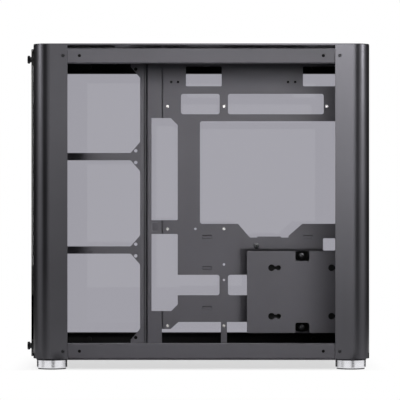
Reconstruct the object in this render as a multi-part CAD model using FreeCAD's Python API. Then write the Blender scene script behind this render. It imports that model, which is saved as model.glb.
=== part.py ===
import FreeCAD, Part
import math
import os

# Computer case with two chambers, seen as built: frame, panels, tray and fittings.
# Millimetres. X runs from the glass side to the open side, Y from front to rear, Z up.
# The origin is the middle of the footprint, on the surface that the feet stand on.

# Walls and sheets
sheet = 1.2
rear_sheet = 1.0
bottom_sheet = 1.6
glass = 3.0
column_wall = 3.0
top_panel_sheet = 2.2
top_edge = 0.8
bend = 1.6

# Width: wall, main chamber, tray, back chamber, wall
main_chamber = 180.8
back_chamber = 97.0

# Depth, from the front columns to the rear ones
front_rail_depth = 7.4
bracket_gap = 0.2
fan_bracket_width = 126.3
upright_gap = 1.2
groove_width = 1.9
web_width = 18.7
tray_seam = 1.4
tray_front_margin = 5.87
board_front_pitch = 72.39
board_rear_pitch = 154.94
board_rear_margin = 12.0
board_step = 22.86
rear_recess = 10.5

# Height, from the floor up
foot_height = 12.0
below_board = 36.55
board_low_pitch = 124.46
board_high_pitch = 157.48
above_board = 69.2
top_gap = 3.5

# Columns
corner_radius = 22.0
right_side_arm = 43.6
left_side_arm = 27.0
front_arm = 43.5
rear_arm = 24.5
boss_inset = 12.5
boss_radius = 6.0
boss_bore = 2.1
column_screw_inset = 38.0
column_screw_radius = 2.0
column_screw_head = 1.0
column_shank_radius = 1.3

# Rails
rail_height = 19.0
rail_depth = 14.0
rail_end = 22.5
rail_hole_inset = 58.4
rail_hole_radius = 2.0
socket_wall = 1.2
socket_depth = 6.2
socket_floor = 0.8

# Fans
fan_pitch = 120.0
fan_hole_pitch = 105.0
fan_hole_radius = 2.2
fan_bar = 9.4
fan_side_margin = 2.0
bracket_margin = 5.15
bracket_hole_inset = 5.5
bracket_end = 10.0
fan_gusset = (12.0, 14.0)
fan_end_margin = 5.0
fold = 12.0

# Tray
hole_radius = 1.6
standoff_hex = 5.5
standoff_length = 6.5
standoff_tail_radius = 1.75
standoff_bore = 1.25
press_clearance = 0.1
window_radius = 3.0
tray_foot_width = 7.7
tray_rear_flange = 6.0
lance_width = 12.4
lance_height = 4.6
lance_depth = 2.2
lance_end = 1.0
blind_nut_radius = 2.8
blind_nut_length = 9.0
upright_fold = 13.7
upright_lap = 2.1
upright_reach = 2.5
seam_depth = 5.0
spring_place = (5.9, 7.4)
spring_height = 11.2
spring_rise = 2.6
spring_bend = 2.2
window_web = 5.3

# Tray edges and windows, as distances from the rows and columns of board holes
tray_edge_rise = 4.85
tray_tab_drop = 4.15
tray_tab_front = (4.0, 13.8)
tray_tab_rear = 8.0
tray_tab_radius = 3.0
slant_radius = 1.5
side_window_reach = 13.0
side_upper_low = 11.2
side_upper_high = 15.1
side_upper_slant = 9.0
side_lower_low = 18.95
side_lower_high = 6.6
side_lower_slant = 8.4
side_arm_end = 5.7
cable_window_level = (25.7, 51.2)
cable_window_front = (48.8, 2.9)
cable_window_rear = (53.4, 12.0)
board_window_level = (10.2, 16.0)
low_window_level = (39.25, 65.45)
board_window_front = (55.2, 5.5)
board_window_rear = (5.2, 3.84)
processor_side = (30.8, 9.6)
processor_level = (6.5, 19.2)
processor_dip = (18.0, 32.0, 82.0, 100.7)
processor_dip_drop = 9.8
dip_notches = (33.0, 73.0)
dip_notch_width = 10.0
dip_notch_depth = 1.3
corner_window = (27.7, 12.0)
corner_window_drop = (27.8, 12.1)
lance_side = 21.8
lance_rear = 47.0
lance_drop = (10.4, 50.3)
lance_low = 22.85
nut_rise = 31.2
nut_front = (4.6, 13.3)
nut_rear = (72.7, 63.4)
spare_hole_front = 36.66
spare_hole_drop = 45.72
spare_hole_rise = 58.75

# Drive plate
drive_standoff = 25.0
drive_front = 29.1
drive_rear = 5.4
drive_low = 7.85
drive_high = 27.9
drive_tab_place = 31.0
drive_tab_width = 22.0
drive_screw_place = (41.5, 21.5)
key_place = (60.5, 13.35)
drive_hole_pitch = 76.6
drive_row_pitch = 61.72
key_wide = 4.3
key_narrow = 3.3
key_step = 8.8
key_neck = 2.0
flap_place = 90.9
flap_width = 17.8
flap_depth = 13.0
flap_radius = 2.5
flap_margin = 1.5

# Rear panel
slot_count = 7
slot_rise = 2.4
slot_inset = 4.8
slot_pitch = 20.32
slot_width = 14.3
slot_span = 110.0
slot_cover_width = 18.4
slot_cover_sheet = 0.9
slot_tab = 11.0
slot_corner = 2.0
slot_tongue = (3.0, 6.0)
slot_vents = 5
io_width = 44.45
io_height = 158.75
io_rise = 14.4
rear_fan_hole_pitch = 82.5
rear_fan_field = 84.0
rear_fan_side = 14.9
rear_fan_drop = 42.0
psu_hole_span = 113.0
psu_hole_width = 51.5
psu_opening_margin = 5.0
psu_plate_side = 7.0
psu_plate_end = 19.0
psu_screw_pitch = 31.25
psu_screw_end = 13.0
psu_drop = 18.83

# Front glass and its thumbscrews
front_glass_width = 232.0
front_glass_inset = 3.4
thumbscrew_inset = 16.2
thumbscrew_edge = 12.0
thumb_head_radius = 5.0
thumb_head = 3.2
thumb_neck_radius = 3.5
thumb_neck = 1.7
thumb_shank_radius = 1.75
grommet_radius = 3.4
grommet_lip_radius = 5.0
grommet_lip = 0.6

# Bottom panel and feet
bottom_inset_x = 2.5
bottom_inset_y = 1.0
bottom_corner = 12.0
foot_radius = 19.0
foot_inset_x = 24.5
foot_inset_y = 23.15
foot_chamfer = 0.8
pad_radius = 17.5
pad_height = 1.4
foot_screw_radius = 1.5
foot_screw_head_radius = 3.6
foot_screw_head = 2.0

# Vents and filters
filter_width = 124.0
filter_length = 372.0
filter_frame = 5.0
filter_height = 1.8
filter_mesh = 0.5
filter_bar = 1.6
filter_columns = 5
filter_rows = 16
vent_slot = (50.0, 4.0)
vent_pitch = 9.0
vent_seam = 0.6

# Ports and power button, in the top panel over the back chamber
port_housing_width = 26.0
port_housing_length = 86.0
port_housing_height = 18.0
port_housing_wall = 2.0
port_housing_front = 15.5
port_housing_side = 28.5
port_board = 1.6
port_clearance = 0.2
port_recess = 0.3
port_shell = 0.6
port_floor = 2.0
usb_c_size = (9.2, 3.4)
usb_c_tongue = (0.7, 0.0)
usb_a_size = (14.4, 7.0)
usb_a_corner = 0.8
usb_a_tongue = (1.9, 1.1)
tongue_inset = 1.8
jack_radius = 3.5
jack_bore = 1.8
usb_c_place = 27.0
usb_a_places = (42.0, 60.0)
jack_place = 75.0
button_radius = 5.5
button_clearance = 0.3
button_flange = 1.5
button_travel = 1.2
button_switch_gap = 0.3

clearance = 0.2
cut = 1.0

# Chains of places
x_right = (2 * column_wall + main_chamber + sheet + back_chamber) / 2
x_left = -x_right
x_rail = x_right - column_wall
x_tray_back = x_rail - back_chamber
x_tray = x_tray_back - sheet
x_main = (-x_rail + x_tray) / 2

case_depth = (2 * column_wall + front_rail_depth + bracket_gap + fan_bracket_width + upright_gap
              + sheet + groove_width + web_width + tray_seam + tray_front_margin + board_front_pitch
              + board_rear_pitch + board_rear_margin + rear_sheet + rear_recess)
front_reach = glass + grommet_lip + thumb_neck + thumb_head
y_front = (front_reach - case_depth) / 2
y_rear = y_front + case_depth
y_bracket = y_front + column_wall + front_rail_depth + bracket_gap
y_bracket_end = y_bracket + fan_bracket_width
y_lip = y_bracket_end + upright_gap
y_web = y_lip + sheet + groove_width
y_web_end = y_web + web_width
y_tray = y_web_end + tray_seam
y_hole_front = y_tray + tray_front_margin
y_hole_mid = y_hole_front + board_front_pitch
y_hole_rear = y_hole_mid + board_rear_pitch
y_panel = y_hole_rear + board_rear_margin
y_panel_back = y_panel + rear_sheet

z_base = foot_height
z_floor = z_base + bottom_sheet
row_low = z_floor + below_board
row_mid = row_low + board_low_pitch
row_high = row_mid + board_high_pitch
z_ceiling = row_high + above_board
z_cap = z_ceiling + top_gap
z_top = z_cap + top_panel_sheet

rail_mid = 0.5 * rail_height
foot_x = x_right - foot_inset_x
foot_y = (y_front + foot_inset_y, y_rear - foot_inset_y)
thumb_x = front_glass_width / 2 - thumbscrew_edge
thumb_z = (z_base + thumbscrew_inset, z_cap - thumbscrew_inset)
bottom_fan_x = -foot_x + foot_radius + cut + filter_width / 2
inset_hole_rear = y_hole_rear - board_step
standoffs = [(y, z) for z in (row_low, row_mid, row_high) for y in (y_hole_front, y_hole_mid)]
standoffs += [(y_hole_rear, row_low), (y_hole_rear, row_mid), (inset_hole_rear, row_high)]

pieces = {}


# Drawing helpers

def point(x, y, z):
    return FreeCAD.Vector(x, y, z)


def box(x0, x1, y0, y1, z0, z1):
    return Part.makeBox(x1 - x0, y1 - y0, z1 - z0, point(x0, y0, z0))


def rod(radius, start, end):
    return Part.makeCylinder(radius, start.distanceToPoint(end), start, end - start)


def rounded(corners, place):
    # Closed face from (a, b, radius) corners, with place() setting the plane.
    flat = [point(a, b, 0) for a, b, _ in corners]
    runs = []
    for i, (_, _, radius) in enumerate(corners):
        here = flat[i]
        to_last = (flat[i - 1] - here).normalize()
        to_next = (flat[(i + 1) % len(flat)] - here).normalize()
        if radius <= 0:
            runs.append((here, None, here))
            continue
        half = to_last.getAngle(to_next) / 2
        middle = (to_last + to_next).normalize()
        setback = radius / math.tan(half)
        top_of_arc = here + middle * (radius / math.sin(half) - radius)
        runs.append((here + to_last * setback, top_of_arc, here + to_next * setback))
    edges = []
    for i, (start, top_of_arc, end) in enumerate(runs):
        if top_of_arc is not None:
            edges.append(Part.Arc(place(start), place(top_of_arc), place(end)).toShape())
        following = runs[(i + 1) % len(runs)][0]
        if end.distanceToPoint(following) > 1e-6:
            edges.append(Part.makeLine(place(end), place(following)))
    return Part.Face(Part.Wire(edges))


def plate_x(corners, x0, x1):
    return rounded(corners, lambda p: point(x0, p.x, p.y)).extrude(point(x1 - x0, 0, 0))


def plate_y(corners, y0, y1):
    return rounded(corners, lambda p: point(p.x, y0, p.y)).extrude(point(0, y1 - y0, 0))


def plate_z(corners, z0, z1):
    return rounded(corners, lambda p: point(p.x, p.y, z0)).extrude(point(0, 0, z1 - z0))


def oblong(a0, a1, b0, b1, radius=0):
    return [(a0, b0, radius), (a1, b0, radius), (a1, b1, radius), (a0, b1, radius)]


def turned(profile, base, axis):
    # Solid of revolution from (radius, height) corners, stood on base along axis.
    ring = [point(radius, 0, height) for radius, height in profile]
    face = Part.Face(Part.makePolygon(ring + ring[:1]))
    solid = face.revolve(point(0, 0, 0), point(0, 0, 1), 360)
    solid.Placement = FreeCAD.Placement(base, FreeCAD.Rotation(point(0, 0, 1), axis))
    return solid


def union(*shapes):
    return shapes[0].multiFuse(list(shapes[1:])).removeSplitter()


def grouped(solids):
    return Part.makeCompound(solids)


# Fan openings: an opening with gusset corners and four screw holes for each fan

def fan_rows(low, high):
    count = max(1, int((high - low - 2 * fan_end_margin) // fan_pitch))
    middle = (low + high) / 2
    return [middle + fan_pitch * (i - (count - 1) / 2) for i in range(count)]


def fan_window(a, b, half_a, half_b, gusset_a, gusset_b):
    side, end = half_a - gusset_a, half_b - gusset_b
    corners = [(-side, -half_b), (side, -half_b), (half_a, -end), (half_a, end),
               (side, half_b), (-side, half_b), (-half_a, end), (-half_a, -end)]
    return [(a + da, b + db, window_radius) for da, db in corners]


def fan_cutters_z(x, y, z0, z1):
    half = fan_pitch / 2 - fan_side_margin
    half_bar = (fan_pitch - fan_bar) / 2
    cutters = [plate_z(fan_window(x, y, half, half_bar, *fan_gusset), z0, z1)]
    for dx in (-1, 1):
        for dy in (-1, 1):
            foot = point(x + dx * fan_hole_pitch / 2, y + dy * fan_hole_pitch / 2, z0)
            cutters.append(rod(fan_hole_radius, foot, foot + point(0, 0, z1 - z0)))
    return cutters


def fan_cutters_x(y, z, half, x0, x1):
    half_bar = (fan_pitch - fan_bar) / 2
    cutters = [plate_x(fan_window(y, z, half, half_bar, *fan_gusset), x0, x1)]
    for dy in (-1, 1):
        for dz in (-1, 1):
            foot = point(x0, y + dy * (half - bracket_hole_inset), z + dz * fan_hole_pitch / 2)
            cutters.append(rod(fan_hole_radius, foot, foot + point(x1 - x0, 0, 0)))
    return cutters


# Columns: an angle extrusion with a round outer corner and a screw boss inside

def column(side_x, side_y, side_arm, end_arm):
    def place(p):
        y = y_front + p.y if side_y < 0 else y_rear - p.y
        return point(side_x * (x_right - p.x), y, z_floor)

    angle = [(0, side_arm, 0), (0, 0, corner_radius), (end_arm, 0, 0), (end_arm, column_wall, 0),
             (column_wall, column_wall, corner_radius - column_wall), (column_wall, side_arm, 0)]
    rise = point(0, 0, z_cap - z_floor)
    skin = rounded(angle, place).extrude(rise)
    boss = place(point(boss_inset, boss_inset, 0))
    return union(skin, rod(boss_radius, boss, boss + rise)).cut(rod(boss_bore, boss, boss + rise))


def column_screw_places():
    heights = (z_floor + rail_mid, z_ceiling - rail_mid)
    return [(y, z) for y in (y_front + column_screw_inset, y_rear - column_screw_inset) for z in heights]


def make_columns():
    right = {"column_front_right": (1, -1, front_arm), "column_rear_right": (1, 1, rear_arm)}
    left = {"column_front_left": (-1, -1, front_arm), "column_rear_left": (-1, 1, rear_arm)}
    for name, (side_x, side_y, end_arm) in right.items():
        shape = column(side_x, side_y, right_side_arm, end_arm)
        for y, z in column_screw_places():
            outer = point(x_right, y, z)
            seat = outer - point(column_screw_head + clearance, 0, 0)
            shape = shape.cut(rod(column_screw_radius + clearance, seat, outer))
            shape = shape.cut(rod(column_shank_radius + clearance, point(x_rail, y, z), outer))
        pieces[name] = shape
    for name, (side_x, side_y, end_arm) in left.items():
        pieces[name] = column(side_x, side_y, left_side_arm, end_arm)
    for name in ("column_front_right", "column_front_left"):
        for x in (-thumb_x, thumb_x):
            for z in thumb_z:
                outer = point(x, y_front, z)
                hole = rod(thumb_shank_radius + clearance, outer, outer + point(0, column_wall, 0))
                pieces[name] = pieces[name].cut(hole)
    screws = []
    for y, z in column_screw_places():
        seat = point(x_right - column_screw_head - clearance, y, z)
        head = rod(column_screw_radius, seat, seat + point(column_screw_head, 0, 0))
        shank = rod(column_shank_radius, seat, point(x_rail - 2 * sheet, y, z))
        screws.append(union(head, shank))
    pieces["column_screws"] = grouped(screws)


# Rails: channels folded from sheet, behind the column arms

def channel(face, way, depth, z0, z1):
    # Section with its web at face and its two flanges turned back along way.
    back, inner = face + way * depth, face + way * sheet
    low, high = z0 + sheet, z1 - sheet
    return [(face, z0, bend), (face, z1, bend), (back, z1, 0), (back, high, 0), (inner, high, bend - sheet),
            (inner, low, bend - sheet), (back, low, 0), (back, z0, 0)]


def snap_places():
    heights = (z_floor + rail_mid, z_ceiling - rail_mid)
    return [(y, z) for y in (y_front + rail_hole_inset, y_rear - rail_hole_inset) for z in heights]


def make_snap_sockets():
    # Closed cups behind the rail holes, which take the studs of the side panels.
    bore = rail_hole_radius + 2 * clearance
    rim = bore + socket_wall
    cup = [(bore, 0), (rim, 0), (rim, socket_depth + socket_floor), (0, socket_depth + socket_floor),
           (0, socket_depth), (bore, socket_depth)]
    pieces["snap_sockets"] = grouped([turned(cup, point(sign * (x_rail - sheet), y, z), point(-sign, 0, 0))
                                      for sign in (-1, 1) for y, z in snap_places()])


def make_rails():
    levels = {"bottom": (z_floor, z_floor + rail_height), "top": (z_ceiling - rail_height, z_ceiling)}
    y0, y1 = y_front + rail_end, y_rear - rail_end
    for level, (z0, z1) in levels.items():
        for side, sign in (("right", 1), ("left", -1)):
            shape = plate_y(channel(sign * x_rail, -sign, rail_depth, z0, z1), y0, y1)
            mid = z0 + rail_mid
            holes = [(rail_hole_inset, rail_hole_radius)]
            if sign > 0:
                holes.append((column_screw_inset, column_shank_radius + press_clearance))
            for inset, radius in holes:
                for y in (y_front + inset, y_rear - inset):
                    outer = point(sign * x_rail, y, mid)
                    shape = shape.cut(rod(radius, outer, outer - point(sign * sheet, 0, 0)))
            pieces["rail_%s_%s" % (side, level)] = shape
        y_face = y_front + column_wall
        half = x_right - rail_end
        front = plate_x(channel(y_face, 1, front_rail_depth, z0, z1), -half, half)
        thumb = thumb_z[0] if level == "bottom" else thumb_z[1]
        for x in (-thumb_x, thumb_x):
            front = front.cut(rod(thumb_shank_radius + press_clearance, point(x, y_face, thumb),
                                  point(x, y_face + sheet, thumb)))
        pieces["rail_front_" + level] = front


# Bottom panel, feet, pads and the screws that hold them

def make_base():
    half = x_rail - bottom_inset_x
    y0, y1 = y_front + column_wall + bottom_inset_y, y_rear - column_wall - bottom_inset_y
    panel = plate_z(oblong(-half, half, y0, y1, bottom_corner), z_base, z_floor)
    cutters = []
    for y in fan_rows(y_bracket, y_panel):
        cutters += fan_cutters_z(bottom_fan_x, y, z_base - cut, z_floor + cut)
    corners = {"front_right": (foot_x, foot_y[0]), "rear_right": (foot_x, foot_y[1]),
               "front_left": (-foot_x, foot_y[0]), "rear_left": (-foot_x, foot_y[1])}
    up = point(0, 0, 1)
    screws = []
    for name, (x, y) in corners.items():
        bore_floor = z_base / 3
        foot = turned([(0, pad_height), (foot_radius - foot_chamfer, pad_height),
                       (foot_radius, pad_height + foot_chamfer), (foot_radius, z_base - foot_chamfer),
                       (foot_radius - foot_chamfer, z_base), (0, z_base)], point(x, y, 0), up)
        bore = rod(foot_screw_radius + press_clearance, point(x, y, bore_floor), point(x, y, z_base))
        pieces["foot_" + name] = foot.cut(bore)
        pieces["foot_pad_" + name] = rod(pad_radius, point(x, y, 0), point(x, y, pad_height))
        cutters.append(rod(foot_screw_radius + press_clearance, point(x, y, z_base), point(x, y, z_floor)))
        tip, crown = bore_floor + cut, z_floor + foot_screw_head
        screws.append(turned([(0, tip), (foot_screw_radius, tip), (foot_screw_radius, z_floor),
                              (foot_screw_head_radius, z_floor), (foot_screw_head_radius, crown), (0, crown)],
                             point(x, y, 0), up))
    pieces["bottom_panel"] = panel.cut(cutters)
    pieces["foot_screws"] = grouped(screws)


# Dust filters: a frame with a flat mesh of bars in it

def dust_filter(x, y, z_frame, z_mesh):
    outer = (x - filter_width / 2, x + filter_width / 2, y - filter_length / 2, y + filter_length / 2)
    inner = (outer[0] + filter_frame, outer[1] - filter_frame,
             outer[2] + filter_frame, outer[3] - filter_frame)
    ring = plate_z(oblong(*outer, window_radius), z_frame, z_frame + filter_height)
    ring = ring.cut(plate_z(oblong(*inner), z_frame - cut, z_frame + filter_height + cut))
    mesh = box(inner[0], inner[1], inner[2], inner[3], z_mesh, z_mesh + filter_mesh)
    step_x = (inner[1] - inner[0]) / filter_columns
    step_y = (inner[3] - inner[2]) / filter_rows
    gaps = []
    for i in range(filter_columns):
        for j in range(filter_rows):
            x0, y0 = inner[0] + i * step_x + filter_bar / 2, inner[2] + j * step_y + filter_bar / 2
            gaps.append(box(x0, x0 + step_x - filter_bar, y0, y0 + step_y - filter_bar,
                            z_mesh - cut, z_mesh + filter_mesh + cut))
    return union(ring, mesh.cut(gaps))


def make_filters():
    y = (y_bracket + y_panel) / 2
    pieces["top_filter"] = dust_filter(x_main, y, z_cap - filter_height, z_cap - filter_mesh)
    pieces["bottom_filter"] = dust_filter(bottom_fan_x, y, z_base - filter_height, z_base - filter_height)


# Top panel with its vent field and port cut-outs, and the fan bracket under it

def port_layout():
    # Length along Y, width along X, corner radius and place along Y of each port.
    jack = 2 * jack_radius
    return {"usb_c_port": (*usb_c_size, usb_c_size[1] / 2, port_y + usb_c_place),
            "usb_a_port_front": (*usb_a_size, usb_a_corner, port_y + usb_a_places[0]),
            "usb_a_port_rear": (*usb_a_size, usb_a_corner, port_y + usb_a_places[1]),
            "audio_jack": (jack, jack, jack_radius, port_y + jack_place)}


def port_outline(length, width, corner, y, grow):
    return oblong(port_x - width / 2 - grow, port_x + width / 2 + grow, y - length / 2 - grow,
                  y + length / 2 + grow, corner + grow)


port_x = x_rail - port_housing_side - port_housing_width / 2
port_y = y_front + port_housing_front
button_y = port_y + port_housing_wall + button_radius + button_flange + button_clearance + cut


def make_top():
    seam = vent_seam
    y0, y1 = y_front, y_rear
    lid = plate_z(oblong(x_left, x_right, y0, y1, corner_radius), z_cap + seam, z_top)
    lid = lid.makeChamfer(top_edge, [edge for edge in lid.Edges if edge.BoundBox.ZMin > z_top - cut / 2])
    step = plate_z(oblong(x_left + seam, x_right - seam, y0 + seam, y1 - seam, corner_radius - seam),
                   z_cap, z_cap + seam)
    panel = union(lid, step)
    y_mid = (y_bracket + y_panel) / 2
    field = filter_length - 2 * filter_frame
    rows = int((field - vent_slot[1]) // vent_pitch) + 1
    bridge = (filter_width - 2 * filter_frame - 2 * vent_slot[0]) / 3
    cutters = []
    for i in range(rows):
        y = y_mid + vent_pitch * (i - (rows - 1) / 2)
        for side in (-1, 1):
            x = x_main + side * (vent_slot[0] + bridge) / 2
            cutters.append(box(x - vent_slot[0] / 2, x + vent_slot[0] / 2, y - vent_slot[1] / 2,
                               y + vent_slot[1] / 2, z_cap - cut, z_top + cut))
    for port in port_layout().values():
        cutters.append(plate_z(port_outline(*port, port_clearance), z_cap - cut, z_top + cut))
    cutters.append(rod(button_radius + button_clearance, point(port_x, button_y, z_cap - cut),
                       point(port_x, button_y, z_top + cut)))
    pieces["top_panel"] = panel.cut(cutters)

    x0, x1 = -x_rail + rail_depth / 4, x_tray_back + fold + rail_depth / 2
    y0, y1 = y_front + column_wall + sheet, y_panel - clearance
    bracket = box(x0, x1, y0, y1, z_ceiling, z_ceiling + sheet)
    notch = boss_inset + boss_radius + clearance
    cutters = [box(x0, x_left + notch, y0, y_front + notch, z_ceiling - cut, z_ceiling + sheet + cut),
               box(x0, x_left + notch, y_rear - notch, y1, z_ceiling - cut, z_ceiling + sheet + cut)]
    for y in fan_rows(y_bracket, y_panel):
        cutters += fan_cutters_z(x_main, y, z_ceiling - cut, z_ceiling + sheet + cut)
    pieces["top_fan_bracket"] = bracket.cut(cutters)


# Port housing under the top panel, with its board, ports, switch and power button

def make_ports():
    x0, x1 = port_x - port_housing_width / 2, port_x + port_housing_width / 2
    y0, y1 = port_y, port_y + port_housing_length
    z0 = z_cap - port_housing_height
    wall = port_housing_wall
    housing = box(x0, x1, y0, y1, z0, z_cap)
    housing = housing.cut(box(x0 + wall, x1 - wall, y0 + wall, y1 - wall, z0 + wall, z_cap))
    pieces["port_housing"] = housing
    board_top = z0 + wall + port_board
    pieces["port_board"] = box(x0 + wall + clearance, x1 - wall - clearance, y0 + wall + clearance,
                               y1 - wall - clearance, z0 + wall, board_top)
    z_mouth = z_top - port_recess
    z_socket = board_top + port_floor
    for name, port in port_layout().items():
        length, _, _, y = port
        shell = plate_z(port_outline(*port, 0), board_top, z_mouth)
        if name == "audio_jack":
            pieces[name] = shell.cut(rod(jack_bore, point(port_x, y, z_socket), point(port_x, y, z_mouth)))
            continue
        thick, aside = usb_c_tongue if name == "usb_c_port" else usb_a_tongue
        tongue = box(port_x + aside - thick / 2, port_x + aside + thick / 2, y - length / 2 + tongue_inset,
                     y + length / 2 - tongue_inset, z_socket, z_mouth - port_floor)
        pieces[name] = union(shell.cut(plate_z(port_outline(*port, -port_shell), z_socket, z_mouth)), tongue)
    z_button = z_mouth
    flange_top = z_cap - press_clearance
    flange_low = flange_top - button_flange
    switch_top = flange_low - button_travel - button_switch_gap
    pieces["power_button"] = turned([(0, flange_low), (button_radius + button_flange, flange_low),
                                     (button_radius + button_flange, flange_top), (button_radius, flange_top),
                                     (button_radius, z_button - button_flange / 3),
                                     (button_radius - button_flange / 3, z_button), (0, z_button)],
                                    point(port_x, button_y, 0), point(0, 0, 1))
    body = port_housing_width / 4
    pieces["power_switch"] = union(box(port_x - body / 2, port_x + body / 2, button_y - body / 2,
                                       button_y + body / 2, board_top, switch_top - sheet),
                                   rod(body / 4, point(port_x, button_y, switch_top - sheet),
                                       point(port_x, button_y, switch_top)))


# Motherboard tray: a stamped sheet with windows, lances, feet and folded edges

def lance(y, z):
    # Cable-tie strap pushed in from the back, open at both ends: the slot that it leaves, and the sunk strap.
    half, side = lance_height / 2, y - lance_width / 2
    slot = box(x_tray - cut, x_tray_back + cut, side, side + lance_width, z - half, z + half)
    flat = half - lance_end
    bottom, under = x_tray_back - lance_depth, x_tray - lance_depth
    section = [(x_tray_back, -half), (bottom, -flat), (bottom, flat), (x_tray_back, half),
               (x_tray, half), (under, flat + sheet / 2), (under, -flat - sheet / 2), (x_tray, -half)]
    ring = [point(x, side, z + dz) for x, dz in section]
    strap = Part.Face(Part.makePolygon(ring + ring[:1])).extrude(point(0, lance_width, 0))
    return slot, strap


def spring_tongue(y0, y1, z0, z1):
    # Spring tongue lanced out of a sheet and bent in at its front end: its slot, and the bent tongue.
    slot = box(x_tray - cut, x_tray_back + cut, y0, y1, z0, z1)
    section = [(x_tray_back, y1), (x_tray, y1), (x_tray - spring_bend, y0 + clearance),
               (x_tray_back - spring_bend, y0 + clearance)]
    ring = [point(x, y, z0 + clearance) for x, y in section]
    blade = Part.Face(Part.makePolygon(ring + ring[:1])).extrude(point(0, 0, z1 - z0 - 2 * clearance))
    return slot, blade


def side_windows():
    # Two tall windows that the tray shares with the upright beside it.
    y0, y1 = y_web + window_web, y_hole_front + side_window_reach
    low, high = row_mid + side_upper_low, row_high - side_upper_high
    upper = [(y0, low, 0), (y1, low, slant_radius), (y1, high - side_upper_slant, slant_radius),
             (y1 - side_upper_slant, high, slant_radius), (y0, high, 0)]
    arm_low, arm_high = row_low + low_window_level[0], row_low + low_window_level[1]
    arm_end = y_hole_mid - side_arm_end
    low, high = row_low + side_lower_low, row_mid - side_lower_high
    lower = [(y0, low, 0), (y1 - side_lower_slant, low, slant_radius),
             (y1, low + side_lower_slant, slant_radius), (y1, arm_low, 0), (arm_end, arm_low, window_radius),
             (arm_end, arm_high, window_radius), (y1, arm_high, 0), (y1, high, slant_radius), (y0, high, 0)]
    return [plate_x(window, x_tray - fold, x_tray_back + cut) for window in (upper, lower)]


def tray_windows():
    mid, rear, inset = y_hole_mid, y_hole_rear, inset_hole_rear
    r = window_radius
    cable = (row_high + cable_window_level[0], row_high + cable_window_level[1])
    top = (row_high - board_window_level[0], row_high + board_window_level[1])
    low = (row_low + low_window_level[0], row_low + low_window_level[1])
    y0, y1 = mid - processor_side[0], rear - processor_side[1]
    z0, z1 = row_mid + processor_level[0], row_high - processor_level[1]
    dip = [mid + place for place in processor_dip]
    dip_z = row_mid - processor_dip_drop
    processor = [(y0, z0, r), (dip[0], z0, 0), (dip[1], dip_z, 0), (dip[2], dip_z, 0), (dip[3], z0, 0),
                 (y1, z0, r), (y1, z1, r), (y0, z1, r)]
    beside = (mid + board_window_rear[0], inset - board_window_rear[1])
    windows = [oblong(mid - cable_window_front[0], mid - cable_window_front[1], *cable, slant_radius),
               oblong(rear - cable_window_rear[0], rear - cable_window_rear[1], *cable, slant_radius),
               oblong(mid - board_window_front[0], mid - board_window_front[1], *top, r),
               oblong(*beside, *top, r), oblong(*beside, *low, r), processor,
               oblong(rear - corner_window[0], rear - corner_window[1], row_mid - corner_window_drop[0],
                      row_mid - corner_window_drop[1], slant_radius)]
    for start in dip_notches:
        windows.append(oblong(mid + start, mid + start + dip_notch_width,
                              dip_z - dip_notch_depth, dip_z + cut))
    return [plate_x(window, x_tray - cut, x_tray_back + cut) for window in windows]


drive_y0, drive_y1 = y_hole_mid + drive_front, y_hole_rear + drive_rear
drive_z0, drive_z1 = row_low - drive_low, row_mid - drive_high
flap_y0 = y_hole_mid + flap_place
flap_y1 = flap_y0 + flap_width
drive_tab = (y_hole_mid + drive_tab_place, y_hole_mid + drive_tab_place + drive_tab_width)
drive_screw = (y_hole_mid + drive_screw_place[0], row_mid - drive_screw_place[1])
key_y, key_z = y_hole_mid + key_place[0], row_low + key_place[1]
tab_low = row_low - tray_tab_drop


def drive_screw_places():
    flap_mid = (flap_y0 + flap_y1) / 2
    return [drive_screw, (flap_mid, drive_z1 - flap_depth / 2), (flap_mid, drive_z0 + flap_depth / 2)]


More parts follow.
